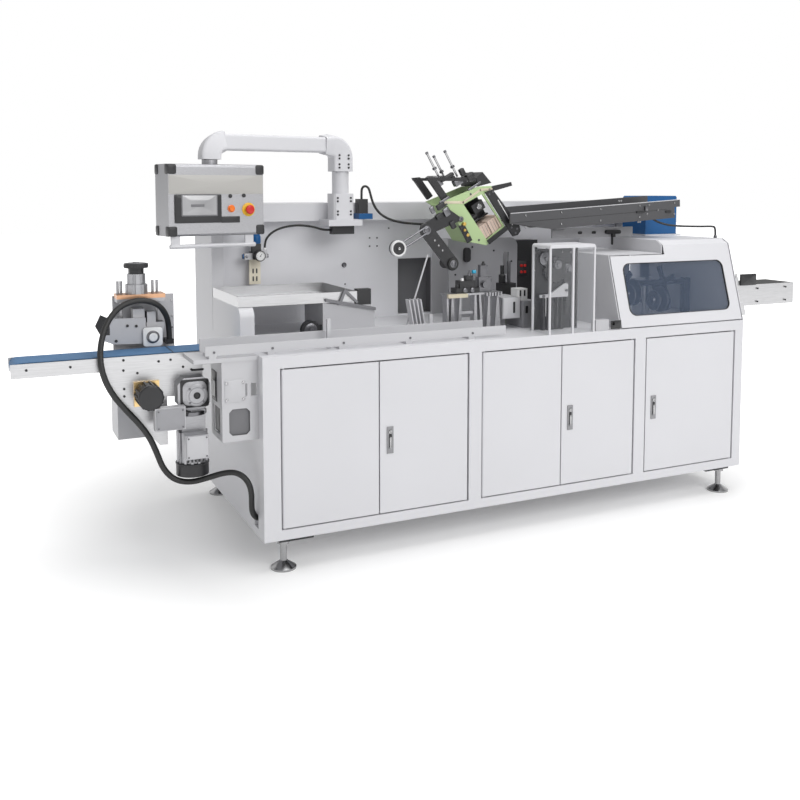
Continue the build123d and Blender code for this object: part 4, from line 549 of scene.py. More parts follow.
# Hoses and cables: control points from end to end, in the machine's millimetres
MAIN_HOSE = (
    (-276, 452, 925), (-276, 452, 975), (-290, 426, 1030), (-326, 396, 1080), (-384, 382, 1105),
    (-448, 377, 1102), (-505, 362, 1075), (-549, 325, 1025), (-580, 270, 962), (-592, 224, 893),
    (-580, 211, 822), (-549, 211, 755), (-503, 211, 692), (-452, 208, 632), (-410, 205, 570),
    (-383, 204, 502), (-361, 201, 436), (-318, 194, 385), (-256, 181, 370), (-192, 159, 386),
    (-134, 130, 408), (-90, 102, 414), (-58, 80, 396), (-40, 66, 364), (-34, 60, 326), (-33, 66, 288),
    (-27, 84, 250), (-14, 100, 222), (4, 110, 204), (26, 110, 204))
COLUMN_HOSE = (
    (746, 755, 1515), (746, 755, 1540), (746, 753, 1565), (755, 749, 1578), (769, 744, 1578),
    (779, 739, 1567), (783, 731, 1543), (790, 724, 1507), (801, 718, 1477), (820, 712, 1448),
    (850, 706, 1425), (890, 702, 1408), (936, 700, 1397), (988, 699, 1391), (1040, 700, 1387),
    (1092, 701, 1385), (1144, 700, 1383), (1190, 700, 1383))
AIR_CABLE = (
    (266, 830, 1271), (266, 830, 1300), (278, 829, 1330), (302, 827, 1353), (336, 823, 1371),
    (378, 817, 1382), (424, 808, 1387), (468, 794, 1385), (506, 775, 1377), (532, 755, 1367),
    (555, 745, 1364), (577, 745, 1364))


class HoseSettings(PropertyGroup):
    hose_diameter: FloatProperty(name="Hose", description="Outer diameter of the conduit at the left end",
                                 default=0.024, unit="LENGTH")
    column_diameter: FloatProperty(name="Column hose", description="Outer diameter of the hose at the arm",
                                   default=0.012, unit="LENGTH")
    cable_diameter: FloatProperty(name="Air line", description="Outer diameter of the line at the regulator",
                                  default=0.011, unit="LENGTH")


def spline(name, points):
    """A smooth curve that the points hold: a NURBS spline of order 3 from the first to the last."""
    data = bpy.data.curves.new(name, "CURVE")
    data.dimensions = "3D"
    line = data.splines.new("NURBS")
    line.points.add(len(points) - 1)
    places = np.array([(*at(*point), 1.0) for point in points])
    line.points.foreach_set("co", places.ravel())
    line.order_u = 3
    line.use_endpoint_u = True
    line.resolution_u = 10
    piece = bpy.data.objects.new(name, data)
    bpy.context.scene.collection.objects.link(piece)
    return piece


def smooth_hose(name, points, diameter):
    """A round hose along the smooth curve, closed at both ends, that rides on the machine."""
    piece = spline(name, points)
    piece.data.bevel_depth = diameter / 2
    piece.data.bevel_resolution = 3
    piece.data.use_fill_caps = True
    piece.data.materials.append(finish("black_rubber"))
    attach(piece, "machine")
    return piece


class MACHINE_OT_hoses(Operator):
    """Lays the conduit at the left end, the hose at the arm and the line at the regulator"""
    bl_idname = "machine.hoses"
    bl_label = "Hoses"

    def execute(self, context):
        sizes = context.scene.machine_hose
        main = smooth_hose("ribbed_conduit", MAIN_HOSE, sizes.hose_diameter)
        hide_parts("main_hose")
        column = smooth_hose("arm_hose", COLUMN_HOSE, sizes.column_diameter)
        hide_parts("column_hose")
        line = smooth_hose("air_line", AIR_CABLE, sizes.cable_diameter)
        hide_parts("air_cable")
        return {"FINISHED"}


# The operator panel's own frame: x across its front, y into it, z up from the floor
PANEL_PLACE = (-44.0, 638.0)
PANEL_TURN = math.radians(9)
PANEL_FRONT = -80.0
PANEL_X = (math.cos(PANEL_TURN), math.sin(PANEL_TURN), 0)
PANEL_Y = (-math.sin(PANEL_TURN), math.cos(PANEL_TURN), 0)
PANEL_OUT = tuple(-part for part in PANEL_Y)

# The panel's plates: x, z and height over its front, then width, height, thickness, finish, corner and edge
PANEL_PLATES = (((-90, 1478), (217, 125, 6, "black_plastic", 5, 2)),
                ((-85, 1492, 5.6), (168, 94, 1.0, "mid_grey", 3, 0.5)),
                ((-85, 1493, 6.2), (158, 86, 1.2, "screen", 2, 0.4)),
                ((-95, 1492, 7), (62, 12, 0.8, "mid_grey", 1.5, 0.3)),
                ((62, 1428), (88, 28, 5, "black_plastic", 2, 1)))
PANEL_BAND = (446, 84, 2.0, "band_grey", 2, 0.6)

# The panel's buttons: x and z, then profile, finish and sides
LAMP = ((17, 0), (17, 4), (14, 5), (12.5, 5), (12.5, 12), (11, 14), (POINT, 14.6))
STOP_PLATE = ((31, 0), (31, 2), (30, 2.6), (12, 2.6))
STOP_HEAD = ((11, 2), (11, 10), (15, 14), (20.5, 17), (21, 21), (18.5, 24.4), (11, 25.8), (POINT, 26))
PILOT = ((9, 0), (9, 3), (6.5, 4), (6, 6), (POINT, 7))
PANEL_BUTTONS = (((66, 1477), (LAMP, "orange_plastic", 28)),
                 ((150, 1472), (STOP_PLATE, "yellow_plastic", 32)),
                 ((150, 1472), (STOP_HEAD, "red_plastic", 32)),
                 ((62, 1533), (PILOT, "black_plastic", 20)),
                 ((128, 1535), (PILOT, "black_plastic", 20)))

# The panel's corner caps: their rows, their places across the front and on the left side, and their sizes
CAP_ROWS, FRONT_CAPS, SIDE_CAPS, PANEL_SIDE = (1380, 1651), (-208, 208), (-62, 62), -224
FRONT_CAP_WIDTH, SIDE_CAP_WIDTH, CAP_SHAPE = 40, 34, (44, 4.5, "black_plastic", 9, 2)


def on_panel(x, z, proud=0.0):
    """A point on the panel's front, in the machine's millimetres."""
    return np.array((*PANEL_PLACE, z)) + x * np.array(PANEL_X) + (PANEL_FRONT - proud) * np.array(PANEL_Y)


class MACHINE_OT_panel_face(Operator):
    """Builds the operator panel's screen, lamp, stop, pilots, corner caps and grey band"""
    bl_idname = "machine.panel_face"
    bl_label = "Panel face"

    def execute(self, context):
        face = Detail()
        for place, shape in PANEL_PLATES:
            face.slab(on_panel(*place), PANEL_X, TOP, *shape)
        for place, form in PANEL_BUTTONS:
            face.turned(on_panel(*place), PANEL_OUT, *form)
        piece = face.lay("panel_face", "panel")
        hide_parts("panel_buttons")
        caps = Detail()
        for x in FRONT_CAPS:
            for z in CAP_ROWS:
                caps.slab(on_panel(x, z, -1), PANEL_X, TOP, FRONT_CAP_WIDTH, *CAP_SHAPE)
        for z in CAP_ROWS:
            side = np.array((*PANEL_PLACE, z)) + PANEL_SIDE * np.array(PANEL_X)
            for depth in SIDE_CAPS:
                caps.slab(side + depth * np.array(PANEL_Y), PANEL_OUT, TOP, SIDE_CAP_WIDTH, *CAP_SHAPE)
        caps.slab(on_panel(0, 1584, -1), PANEL_X, TOP, *PANEL_BAND)
        caps.lay("panel_corner_caps", "panel")
        return {"FINISHED"}


# The door locks: their place from the leaf's left edge, and the heights of lever and key barrel
LOCK_ACROSS, LEVER_HEIGHT, BARREL_HEIGHT = 46, 487, 534
BARREL = ((8, 0), (8, 3), (7, 3.8), (5, 3.8), (5, 2.6), (POINT, 2.6))


class MACHINE_OT_door_locks(Operator):
    """Builds the lever and the key barrel of each door lock, with black marks that paint the shade of its
    recess and key hole
    """
    bl_idname = "machine.door_locks"
    bl_label = "Door locks"

    def execute(self, context):
        for leaf, door in (("leaf_2", "door_2"), ("leaf_4", "door_4"), ("leaf_5", "door_5")):
            x = (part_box(door)[0].x - TABLE_LOW.x) / MM + LOCK_ACROSS
            lock = Detail()
            # A thin black plate behind the lever: painted shade of the lock's recess
            lock.slab((x, -3.6, LEVER_HEIGHT + 4), RIGHT, TOP, 15, 68, 0.9, "black_plastic", 6, 0.3)
            lock.slab((x, -4.1, LEVER_HEIGHT), RIGHT, TOP, 9, 52, 5, "polished_steel", 4, 1.6)
            lock.turned((x, -3.8, BARREL_HEIGHT), FRONT, BARREL, "polished_steel", 24)
            # A black slot in the barrel's face: painted shade of the key hole
            lock.slab((x, -6.3, BARREL_HEIGHT), RIGHT, TOP, 1.6, 7, 0.5, "black_plastic", 0.6, 0.2)
            lock.lay(f"{door}_lever", leaf)
        return {"FINISHED"}


# The hood's window: the middle of the lid's foot, the lid's slope up to its rim, and the gasket's outline
LID_FOOT, LID_SLOPE, LID_RIM = (2160.5, 0, 895.0), (0, 117.0, 389.0), 26
WINDOW_WIDTH, WINDOW_HEIGHT, WINDOW_CORNER = 639, 260.2, 40
GASKET_SUNK, GASKET_EDGE, GASKET_PROUD, GASKET_INNER = -4.5, 0.6, 1.6, 0.985


class MACHINE_OT_hood_gasket(Operator):
    """Runs a dark gasket round the hood's window"""
    bl_idname = "machine.hood_gasket"
    bl_label = "Hood gasket"

    def execute(self, context):
        length = np.linalg.norm(LID_SLOPE)
        rise = np.array(LID_SLOPE) / length
        outward = np.array((0, -rise[2], rise[1]))
        middle = np.array(LID_FOOT) + (length - LID_RIM) / 2 * rise
        flat = rounded_outline(WINDOW_WIDTH, WINDOW_HEIGHT, WINDOW_CORNER, 10)
        loop = middle + flat[:, :1] * np.array(RIGHT) + flat[:, 1:] * rise
        inner = middle + GASKET_INNER * (loop - middle)
        rings = [ring + out * outward for ring, out in (
            (loop, GASKET_SUNK), (loop, GASKET_EDGE), (loop, GASKET_PROUD), (inner, GASKET_PROUD),
            (inner, GASKET_SUNK))]
        edge = Detail()
        edge.grid(np.array(rings), "black_rubber")
        edge.lay("window_gasket", "lid")
        return {"FINISHED"}


def square_ring_tube(detail, centres, half, finish_name, power=0.28, sides=32):
    """A tube with a rounded square section: the ring's (cos t, sin t) are raised to a small power with
    their signs kept, which pushes the circle out towards a square of that half width."""
    rings = tube_rings(centres, 1.0, 4)
    middle = np.asarray(centres, float)[:, None]
    across, upward = rings[:, 0:1] - middle, rings[:, 1:2] - middle
    angle = np.linspace(0, 2 * np.pi, sides, endpoint=False)[None, :, None]
    squared = [np.sign(wave) * np.abs(wave) ** power for wave in (np.cos(angle), np.sin(angle))]
    reach = np.broadcast_to(half, len(centres))[:, None, None]
    detail.grid(middle + reach * (squared[0] * across + squared[1] * upward), finish_name)


# The arm: its two corners in plan, its height, its direction and its half width
ARM_START, ARM_END = np.array((627.0, 740.0)), np.array((-44.0, 638.0))
ARM_Z, ARM_RUN = 1776.0, (ARM_END - ARM_START) / np.linalg.norm(ARM_END - ARM_START)
ARM_HALF = 44.0

# The elbows: corner, foot, direction, half width and reach along the arm
ELBOWS = ((ARM_START, 1649.4, ARM_RUN, 51.0, 100.0), (ARM_END, 1697.0, -ARM_RUN, 46.0, 60.0))
ELBOW_LEAD, ELBOW_CLOSED = 0.5, 0.05

# The screws of the first elbow and of the flange's socket: x, depth and z
ELBOW_SCREWS = [(x, 688.5, z) for x in (603, 651) for z in (1668, 1684, 1712, 1728)]
SOCKET_SCREWS = [(x, 687.8, z) for x in (593, 661) for z in (1440, 1456, 1505, 1521)]
ARM_SCREW = 5


def elbow_path(corner, low, along, reach, bend=62.0, steps=9):
    """Centres up a vertical leg and round a quarter circle into a level leg: corner + bend * (1 - cos t)
    along it and bend * sin t up, for t from 0 to a right angle."""
    turn = np.linspace(0, np.pi / 2, steps)
    level = np.concatenate([[0, 0], bend * (1 - np.cos(turn)), [reach - 1, reach]])
    height = np.concatenate([[low, low + 1], ARM_Z - bend + bend * np.sin(turn), [ARM_Z, ARM_Z]])
    return np.column_stack([corner[0] + level * along[0], corner[1] + level * along[1], height])


class MACHINE_OT_arm_elbows(Operator):
    """Builds the two cast elbows of the operator arm, with their socket screws"""
    bl_idname = "machine.arm_elbows"
    bl_label = "Arm elbows"

    def execute(self, context):
        elbows = Detail()
        for corner, low, along, half, reach in ELBOWS:
            path = elbow_path(corner, low, along, reach)
            path = np.concatenate([path[:1], path, path[-1:]])
            path[1] += (0, 0, ELBOW_LEAD)
            path[-2] -= ELBOW_LEAD * np.array((*along, 0))
            size = np.full(len(path), half)
            size[[0, -1]] = ELBOW_CLOSED
            size[-3:-1] = ARM_HALF
            square_ring_tube(elbows, path, size, "white_paint")
        bolts(elbows, ELBOW_SCREWS, FRONT, ARM_SCREW)
        piece = elbows.lay("arm_elbows", "arm")
        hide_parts("arm_castings")
        screws = Detail()
        bolts(screws, SOCKET_SCREWS, FRONT, ARM_SCREW)
        screws.lay("arm_socket_screws", "machine")
        return {"FINISHED"}


# The air regulator's dial: place, rim, face and needle, and its scale from 225 degrees downwards
DIAL_X, DIAL_Y, DIAL_Z = 230, 781, 1243
DIAL_RIM = ((25, -4), (26, 0), (25, 2.5), (22.5, 3), (22, 1.2), (21.5, 0.8))
DIAL_FACE = ((21.9, 0.5), (21.5, 0.9), (POINT, 0.9))
DIAL_PIN = ((3, 0), (3, 1.2), (POINT, 1.6))
NEEDLE_ALONG, NEEDLE_UP = (0.6, 0, 0.8), (-0.8, 0, 0.6)
TICK_COUNT, TICK_START, TICK_STEP, TICK_RADIUS = 11, 225, 27, 18

# Its knob on a vertical axis: place, radius, knurl, ribs, and the inset and height of each ring
KNOB_PLACE, KNOB_RADIUS, KNOB_KNURL, KNOB_RIBS = (222, 830), 22.4, 0.9, 24
KNOB_RINGS = ((0, 1305), (0, 1337), (2.5, 1341))

# Its ports and collars
PORT = ((13, -16), (13.5, -8), (12, -6), (12, 0), (10, 1), (10, 9), (6, 10), (POINT, 10))
PORT_COLLAR = ((10.6, 2), (11.4, 4), (11.4, 7), (10, 8))
LINE_COLLAR = ((9, -6), (9, 0), (7.6, 3), (6, 9))


class MACHINE_OT_regulator(Operator):
    """Builds the gauge's face, the ribbed knob, the ports' collars, and black marks that paint the shade in
    the slots of the air regulator
    """
    bl_idname = "machine.regulator"
    bl_label = "Regulator"

    def execute(self, context):
        unit = Detail()
        dial = (DIAL_X, DIAL_Y, DIAL_Z)
        unit.turned(dial, FRONT, DIAL_RIM, "black_plastic", 40)
        unit.turned(dial, FRONT, DIAL_FACE, "white_plastic", 32)
        unit.slab((232, 779.8, 1247), NEEDLE_ALONG, NEEDLE_UP, 19, 1.8, 0.6, "black_plastic", 0.6, 0.2)
        unit.turned((DIAL_X, 780.2, DIAL_Z), FRONT, DIAL_PIN, "dark_steel", 16)
        for number in range(TICK_COUNT):
            tick = math.radians(TICK_START - TICK_STEP * number)
            across = (math.cos(tick), 0, math.sin(tick))
            place = (DIAL_X + TICK_RADIUS * across[0], 780.0, DIAL_Z + TICK_RADIUS * across[2])
            unit.slab(place, across, (-across[2], 0, across[0]), 4, 1.1, 0.4, "black_plastic", 0.4, 0.1)
        ribbed(unit, KNOB_PLACE, KNOB_RADIUS, KNOB_KNURL, KNOB_RIBS, KNOB_RINGS, "blue_paint", crown=1)
        for x, side in ((163, LEFT), (273, RIGHT)):
            unit.turned((x, 829, 1240), side, PORT, "dark_steel", 20)
        unit.turned((161, 829, 1240), LEFT, PORT_COLLAR, "blue_paint", 20)
        unit.turned((266, 830, 1270.5), TOP, LINE_COLLAR, "white_plastic", 20)
        # Black marks on the plate: painted shade in its slots
        for z in (1128, 1166):
            for x in (213, 231):
                unit.slab((x, 852.6, z), RIGHT, TOP, 7, 24, 0.8, "black_plastic", 3, 0.2)
        unit.lay("regulator_parts", "machine")
        return {"FINISHED"}


# The tilted magazine head: the directions down, across and up its side plate, and where its faces lie
HEAD_DOWN, HEAD_ACROSS, HEAD_UP = (0.5, 0, -0.866), (0.866, 0, 0.5), (-0.5, 0, 0.866)
HEAD_FACE, HEAD_ARM_FACE = 374.8, 362.8

# Places on the head are given down and across its side plate. Straps: start, end and width
STRAPS = (((1, -5), (60, 94), 13), ((60, 94), (55, 205), 11), ((55, 205), (84, 263), 12))
HEAD_SCREWS = ((22, 12), (46, 150), (78, 252), (150, 20), (228, 36), (262, 80), (292, 120), (292, 216),
               (100, 232))
HEAD_ARM_SCREWS = ((96, 232), (96, 256), (300, 262), (322, 286), (336, 268))
SLOT_START, SLOT_END = (148, 262), (288, 274)

# The spindles' end nuts: down, across and depth, the places of the two nuts along the spindle, and profiles
SPINDLES = ((-229, 62, 420), (-185, 110, 470), (-184, 160, 440))
UPPER_NUT, LOWER_NUT = 6, 78
UPPER_PROFILE = ((5.8, 0), (7.5, 1), (7.5, 9), (6, 11), (POINT, 11.5))
LOWER_PROFILE = ((5.8, 0), (11, 1), (11, 10), (5.8, 11))


def head(down, across, y):
    """A point of the tilted magazine head: down and across its side plate, from its top corner."""
    return (1002 + 0.5 * down + 0.866 * across, y, 1505 - 0.866 * down + 0.5 * across)


def strip(start, end, y):
    """The middle of a strip between two places on the head, its direction along, its direction across and
    its length."""
    first, last = np.array(head(*start, y)), np.array(head(*end, y))
    length = np.linalg.norm(last - first)
    along = (last - first) / length
    return (first + last) / 2, along, (-along[2], 0, along[0]), length


class MACHINE_OT_magazine(Operator):
    """Builds the magazine head's straps, screws, spindle nuts, carton seams and slot line"""
    bl_idname = "machine.magazine"
    bl_label = "Magazine"

    def execute(self, context):
        trim = Detail()
        for start, end, wide in STRAPS:
            middle, along, up, length = strip(start, end, HEAD_FACE)
            trim.slab(middle, along, up, length + wide * 0.6, wide, 2.2, "beige_plastic", 3, 0.8)
        bolts(trim, [head(*place, HEAD_FACE) for place in HEAD_SCREWS], FRONT, 5, "dark_steel")
        slot = Detail()
        middle, along, up, _ = strip(SLOT_START, SLOT_END, HEAD_ARM_FACE)
        slot.slab(middle, along, up, 150, 4, 0.8, "white_plastic", 1.5, 0.3)
        bolts(slot, [head(*place, HEAD_ARM_FACE) for place in HEAD_ARM_SCREWS], FRONT, 5, "dark_steel")
        slot.lay("magazine_arm_trim", "machine")
        for down, across, depth in SPINDLES:
            trim.turned(head(down + UPPER_NUT, across, depth), HEAD_UP, UPPER_PROFILE, "dark_steel", 16)
            trim.turned(head(down + LOWER_NUT, across, depth), HEAD_DOWN, LOWER_PROFILE, "dark_steel", 16)
        for across in np.linspace(131, 215, 6):
            trim.slab(head(245, across, 382.4), HEAD_DOWN, HEAD_ACROSS, 60, 1.3, 0.7, "mid_grey", 0.5, 0.2)
        for down in (162, 182):
            trim.slab(head(down, 120, 410), HEAD_ACROSS, HEAD_UP, 56, 9, 3, "black_plastic", 3, 1)
        trim.lay("magazine_trim", "machine")
        return {"FINISHED"}


# The picker's wheel and its profiles
PICKER_WHEEL = (755, 333, 1291)
PICKER_RIM = ((37.3, -14), (38, -2), (37, 2), (33, 2.6), (30, 1.5), (29, 0.4))
PICKER_DISC = ((29.2, 0.3), (28, 0.6), (12, 0.6), (11, 4), (6, 5), (POINT, 5))
PICKER_PIN = ((6, 5), (6, 8), (3, 8.6), (POINT, 8.6))

# The picker arm's two pivots, their hubs' radii, and where its screws stand along the way between them
PIVOTS, HUBS = ((905, 345, 1372), (1042, 335, 1210)), (15, 12)
ARM_SHARES, ARM_FACE = (0.3, 0.45, 0.6), 344.8


def hub_profile(radius):
    """A pivot's hub of that radius: a washer 6 mm wider, a shoulder and a sunk end."""
    return ((radius + 6, -1), (radius + 6, 2), (radius, 3), (radius - 1, 7), (radius - 5, 8),
            (radius - 6, 5), (POINT, 5))


class MACHINE_OT_picker_parts(Operator):
    """Builds the picker's white wheel rim, its hub and the screws of the arm"""
    bl_idname = "machine.picker_parts"
    bl_label = "Picker parts"

    def execute(self, context):
        parts = Detail()
        parts.turned(PICKER_WHEEL, FRONT, PICKER_RIM, "white_plastic", 40)
        parts.turned(PICKER_WHEEL, FRONT, PICKER_DISC, "dark_paint", 32)
        parts.turned(PICKER_WHEEL, FRONT, PICKER_PIN, "polished_steel", 20)
        for place, radius in zip(PIVOTS, HUBS):
            parts.turned(place, FRONT, hub_profile(radius), "dark_steel", 24)
        (x, _, z), (end_x, _, end_z) = PIVOTS
        places = [(x + (end_x - x) * share, ARM_FACE, z + (end_z - z) * share) for share in ARM_SHARES]
        bolts(parts, places, FRONT, 5, "polished_steel")
        parts.lay("picker_parts", "picker")
        return {"FINISHED"}


# Screws: the piece, its finish, their radius, the way they face and their places
SCREWS = (
    ("conveyor_screws", "black_plastic", 5, FRONT, [(x, 246, z) for x, z in (
        (-499, 883), (-500, 842), (-361, 868), (-313, 871), (-263, 838), (-499, 767), (-499, 737),
        (-446, 827), (-229, 824), (-860, 872), (-700, 872))]),
    ("rear_wall_screws", "dark_steel", 4.5, FRONT, [(x, 900, z) for x, z in (
        (851, 1311), (893, 1311), (851, 1268), (893, 1268), (713, 1076), (960, 1360), (760, 1360))]),
    ("back_plate_screws", "polished_steel", 4.5, FRONT, [
        (-253, 500, z) for z in (1085, 1018, 968, 911)]),
    ("cheek_screws", "black_plastic", 6, FRONT, [
        (-417, 426, 992), (-453, 426, 995), (-500, 426, 934)]),
    ("mechanism_screws", "black_plastic", 5, FRONT, [(x, 700, z) for x, z in (
        (1240, 1310), (1240, 930), (1400, 1290), (1480, 1240), (1590, 1180), (1440, 1070), (1500, 1010),
        (1250, 1120), (1350, 1262), (1590, 960))]),
    ("chute_screws", "polished_steel", 5, FRONT, [
        (1350 + run, 330, 1446 + 0.0594 * run + rise)
        for run in (90, 300, 540, 790, 1020) for rise in (-16, -74)]),
    ("chute_end_screws", "polished_steel", 5, FRONT, [(x, 330, z) for x, z in (
        (2201, 1481), (2261, 1454), (2189, 1434), (2144, 1393), (2131, 1393), (2005, 1503), (2018, 1503))]),
    ("outfeed_screws", "black_plastic", 5, FRONT, [(x, 245.8, z) for x, z in (
        (2748, 1010), (2900, 1018), (3110, 1018), (2900, 945), (3110, 945))]),
    ("bracket_screws", "polished_steel", 6, FRONT, [
        (x, 57, z) for x in (-131, -63) for z in (724, 792)]),
    ("rail_screws", "dark_steel", 5, FRONT, [(x, 55.9, 921) for x in (-180, 60, 370, 680, 990)]),
    ("guard_screws", "polished_steel", 4, FRONT, [(x, 161.8, z) for x, z in (
        (1384, 1262), (1384, 1180), (1384, 1000), (1590, 1262), (1600, 1150), (1596, 1050), (1540, 1262),
        (1450, 1285), (1596, 940))]),
    ("cam_screws", "dark_steel", 7, FRONT, [(1551, 137.8, 1080), (1420, 137.8, 1058)]),
    ("hood_screws", "dark_steel", 4, LEFT, [(1769, y, 915) for y in (160, 480, 780)]),
)

# Plates by piece: finish, centre of the back, the way they face, width, height, thickness, corner radius
FACES = {"front": (RIGHT, TOP), "top": (RIGHT, (0, 1, 0)), "left": (FRONT, TOP),
         "head": (HEAD_ACROSS, HEAD_UP)}
EDGE = 1.5
PLATES = {
    "conveyor_plates": [("black_plastic", (-204, 246, 821), "front", 52, 9, 3, 3),
                        ("dark_paint", (-300, 335, 900), "top", 5, 166, 0.7, 1),
                        ("light_grey", (-97, 60, 758), "front", 84, 92, 3, 5)],
    "motor_covers": [("light_grey", (-242, 100, 536), "front", 86, 92, 6, 9),
                     ("black_plastic", (-232, 179.9, 738), "front", 116, 116, 1.3, 10),
                     ("aluminium", (-232, 178.7, 738), "front", 98, 98, 2.2, 26),
                     ("plate_grey", (-338, 140, 651), "front", 112, 84, 5, 6),
                     *[("black_plastic", (x, 142.6, 470), "front", 7, 14, 1.6, 2)
                       for x in (-270, -255, -240, -225, -210)]],
    "bearing_plate": [("white_plastic", (-352, 414, 944), "front", 80, 80, 4, 12)],
    "bracket_side": [("black_plastic", (-150, 182, 764), "left", 84, 124, 2, 3),
                     ("white_plastic", (-151.9, 182, 752), "left", 34, 64, 3, 4)],
    "bracket_inside": [("mid_grey", (-79, 70, 630), "front", 96, 118, 2, 3),
                       ("dark_paint", (-143, 148, 630), "left", 98, 104, 2, 3)],
    "drive_box_faces": [*[("black_plastic", (x, 252, 1063), "front", 9, 30, 1.2, 2) for x in (1364, 1388)],
                        *[("black_plastic", (x, 236, 984), "front", 14, 36, 1.2, 3) for x in (1391, 1424)],
                        ("light_grey", (1317, 256, 994), "front", 92, 96, 3, 4),
                        ("black_plastic", (1330, 252.9, 996), "front", 12, 56, 1, 5),
                        ("black_plastic", (1668, 716, 1137), "front", 60, 86, 8, 4),
                        *[("red_plastic", (x, 708, z), "front", 14, 14, 7, 4)
                          for x in (1657, 1679) for z in (1119, 1153)],
                        ("dark_paint", (1440, 500, 1000), "front", 70, 60, 16, 6),
                        ("green_paint", (1390, 400, 908), "front", 46, 26, 6, 3)],
    "chute_fittings": [("light_grey", (1760, 518, 1333), "front", 84, 34, 8, 3),
                       ("black_plastic", (2110, 518, 1334), "front", 96, 20, 18, 8),
                       ("black_plastic", (2112, 514, 1295), "front", 20, 64, 14, 8),
                       *[("black_plastic", (x, 518, 1333), "front", 26, 14, 4, 5) for x in (1990, 1900)]],
    "magazine_blocks": [("black_plastic", (985, 366, 1484), "head", 44, 26, 14, 4),
                        ("dark_steel", (1015, 362, 1456), "head", 30, 40, 10, 4),
                        ("black_plastic", (975, 368, 1437), "head", 34, 22, 18, 4),
                        ("dark_steel", (942, 366, 1466), "head", 20, 34, 10, 4),
                        ("black_plastic", (1050, 366, 1394), "head", 24, 36, 14, 4),
                        ("dark_steel", (1007, 368, 1513), "head", 60, 12, 8, 4),
                        ("black_plastic", (1034, 400, 1621), "head", 70, 16, 24, 4),
                        ("dark_steel", (1094, 410, 1598), "head", 44, 30, 30, 4),
                        ("black_plastic", (1154, 400, 1627), "head", 40, 26, 30, 4),
                        ("dark_steel", (997, 410, 1598), "head", 26, 40, 20, 4),
                        ("dark_steel", (1176, 380, 1579), "head", 80, 10, 8, 4),
                        ("black_plastic", (1116, 400, 1646), "head", 24, 34, 20, 4)],
    "outfeed_block": [("dark_paint", (2822, 246, 1070), "front", 112, 62, 10, 3)],
    "interlock_face": [("black_plastic", (1742, 2, 920), "front", 60, 40, 3, 3),
                       ("light_grey", (1726, 0.4, 926), "front", 14, 16, 1.4, 3)],
    "chute_blocks": [("black_plastic", (2143, 330, 1445), "front", 52, 9, 9, 4),
                     ("dark_steel", (2178, 330, 1463), "front", 18, 24, 12, 5),
                     ("black_plastic", (2329, 330, 1445), "front", 36, 12, 8, 5)],
    "hood_back_strip": [("white_paint", (2552, 815, 1093), "left", 176, 394, 4, 3)],
    "hood_frames": [*[("light_grey", (x, 400, 993), "front", 14, 194, 14, 3) for x in (2140, 2232)],
                    ("light_grey", (2186, 400, 1086), "front", 106, 14, 14, 3),
                    ("light_grey", (2330, 470, 993), "front", 14, 194, 14, 3)],
}

# Turned forms by piece: finish, centre, axis and the profile's radii and heights
GEARBOX_BOSS = (-224, 729)
FLANGE_SCREW = ((4.5, -1), (4.5, 2.4), (3.6, 3.2), (POINT, 3.2))
SHORT_PEG = ((12, 0), (12, 5), (8, 7), (POINT, 7))
ROTOR_AXIS = (360, 1067)
ROTOR_DISC = ((20, -2), (62, -2), (66, 0), (66, 8), (62, 10), (30, 10), (28, 16), (20, 16))
ROTOR_SCREW = ((6, 9), (6, 13), (3, 14), (POINT, 14))


def circle(middle, radius, angles):
    """Points on a circle: the middle plus the radius times (cos t, sin t) for each angle."""
    return [(middle[0] + radius * math.cos(angle), middle[1] + radius * math.sin(angle)) for angle in angles]


def folding_disc(radius):
    """The profile of a folding disc of that radius, with its hub."""
    return ((14, -3), (radius, -3), (radius + 3, 0), (radius + 3, 7), (radius, 9), (24, 9), (20, 20),
            (14, 20))


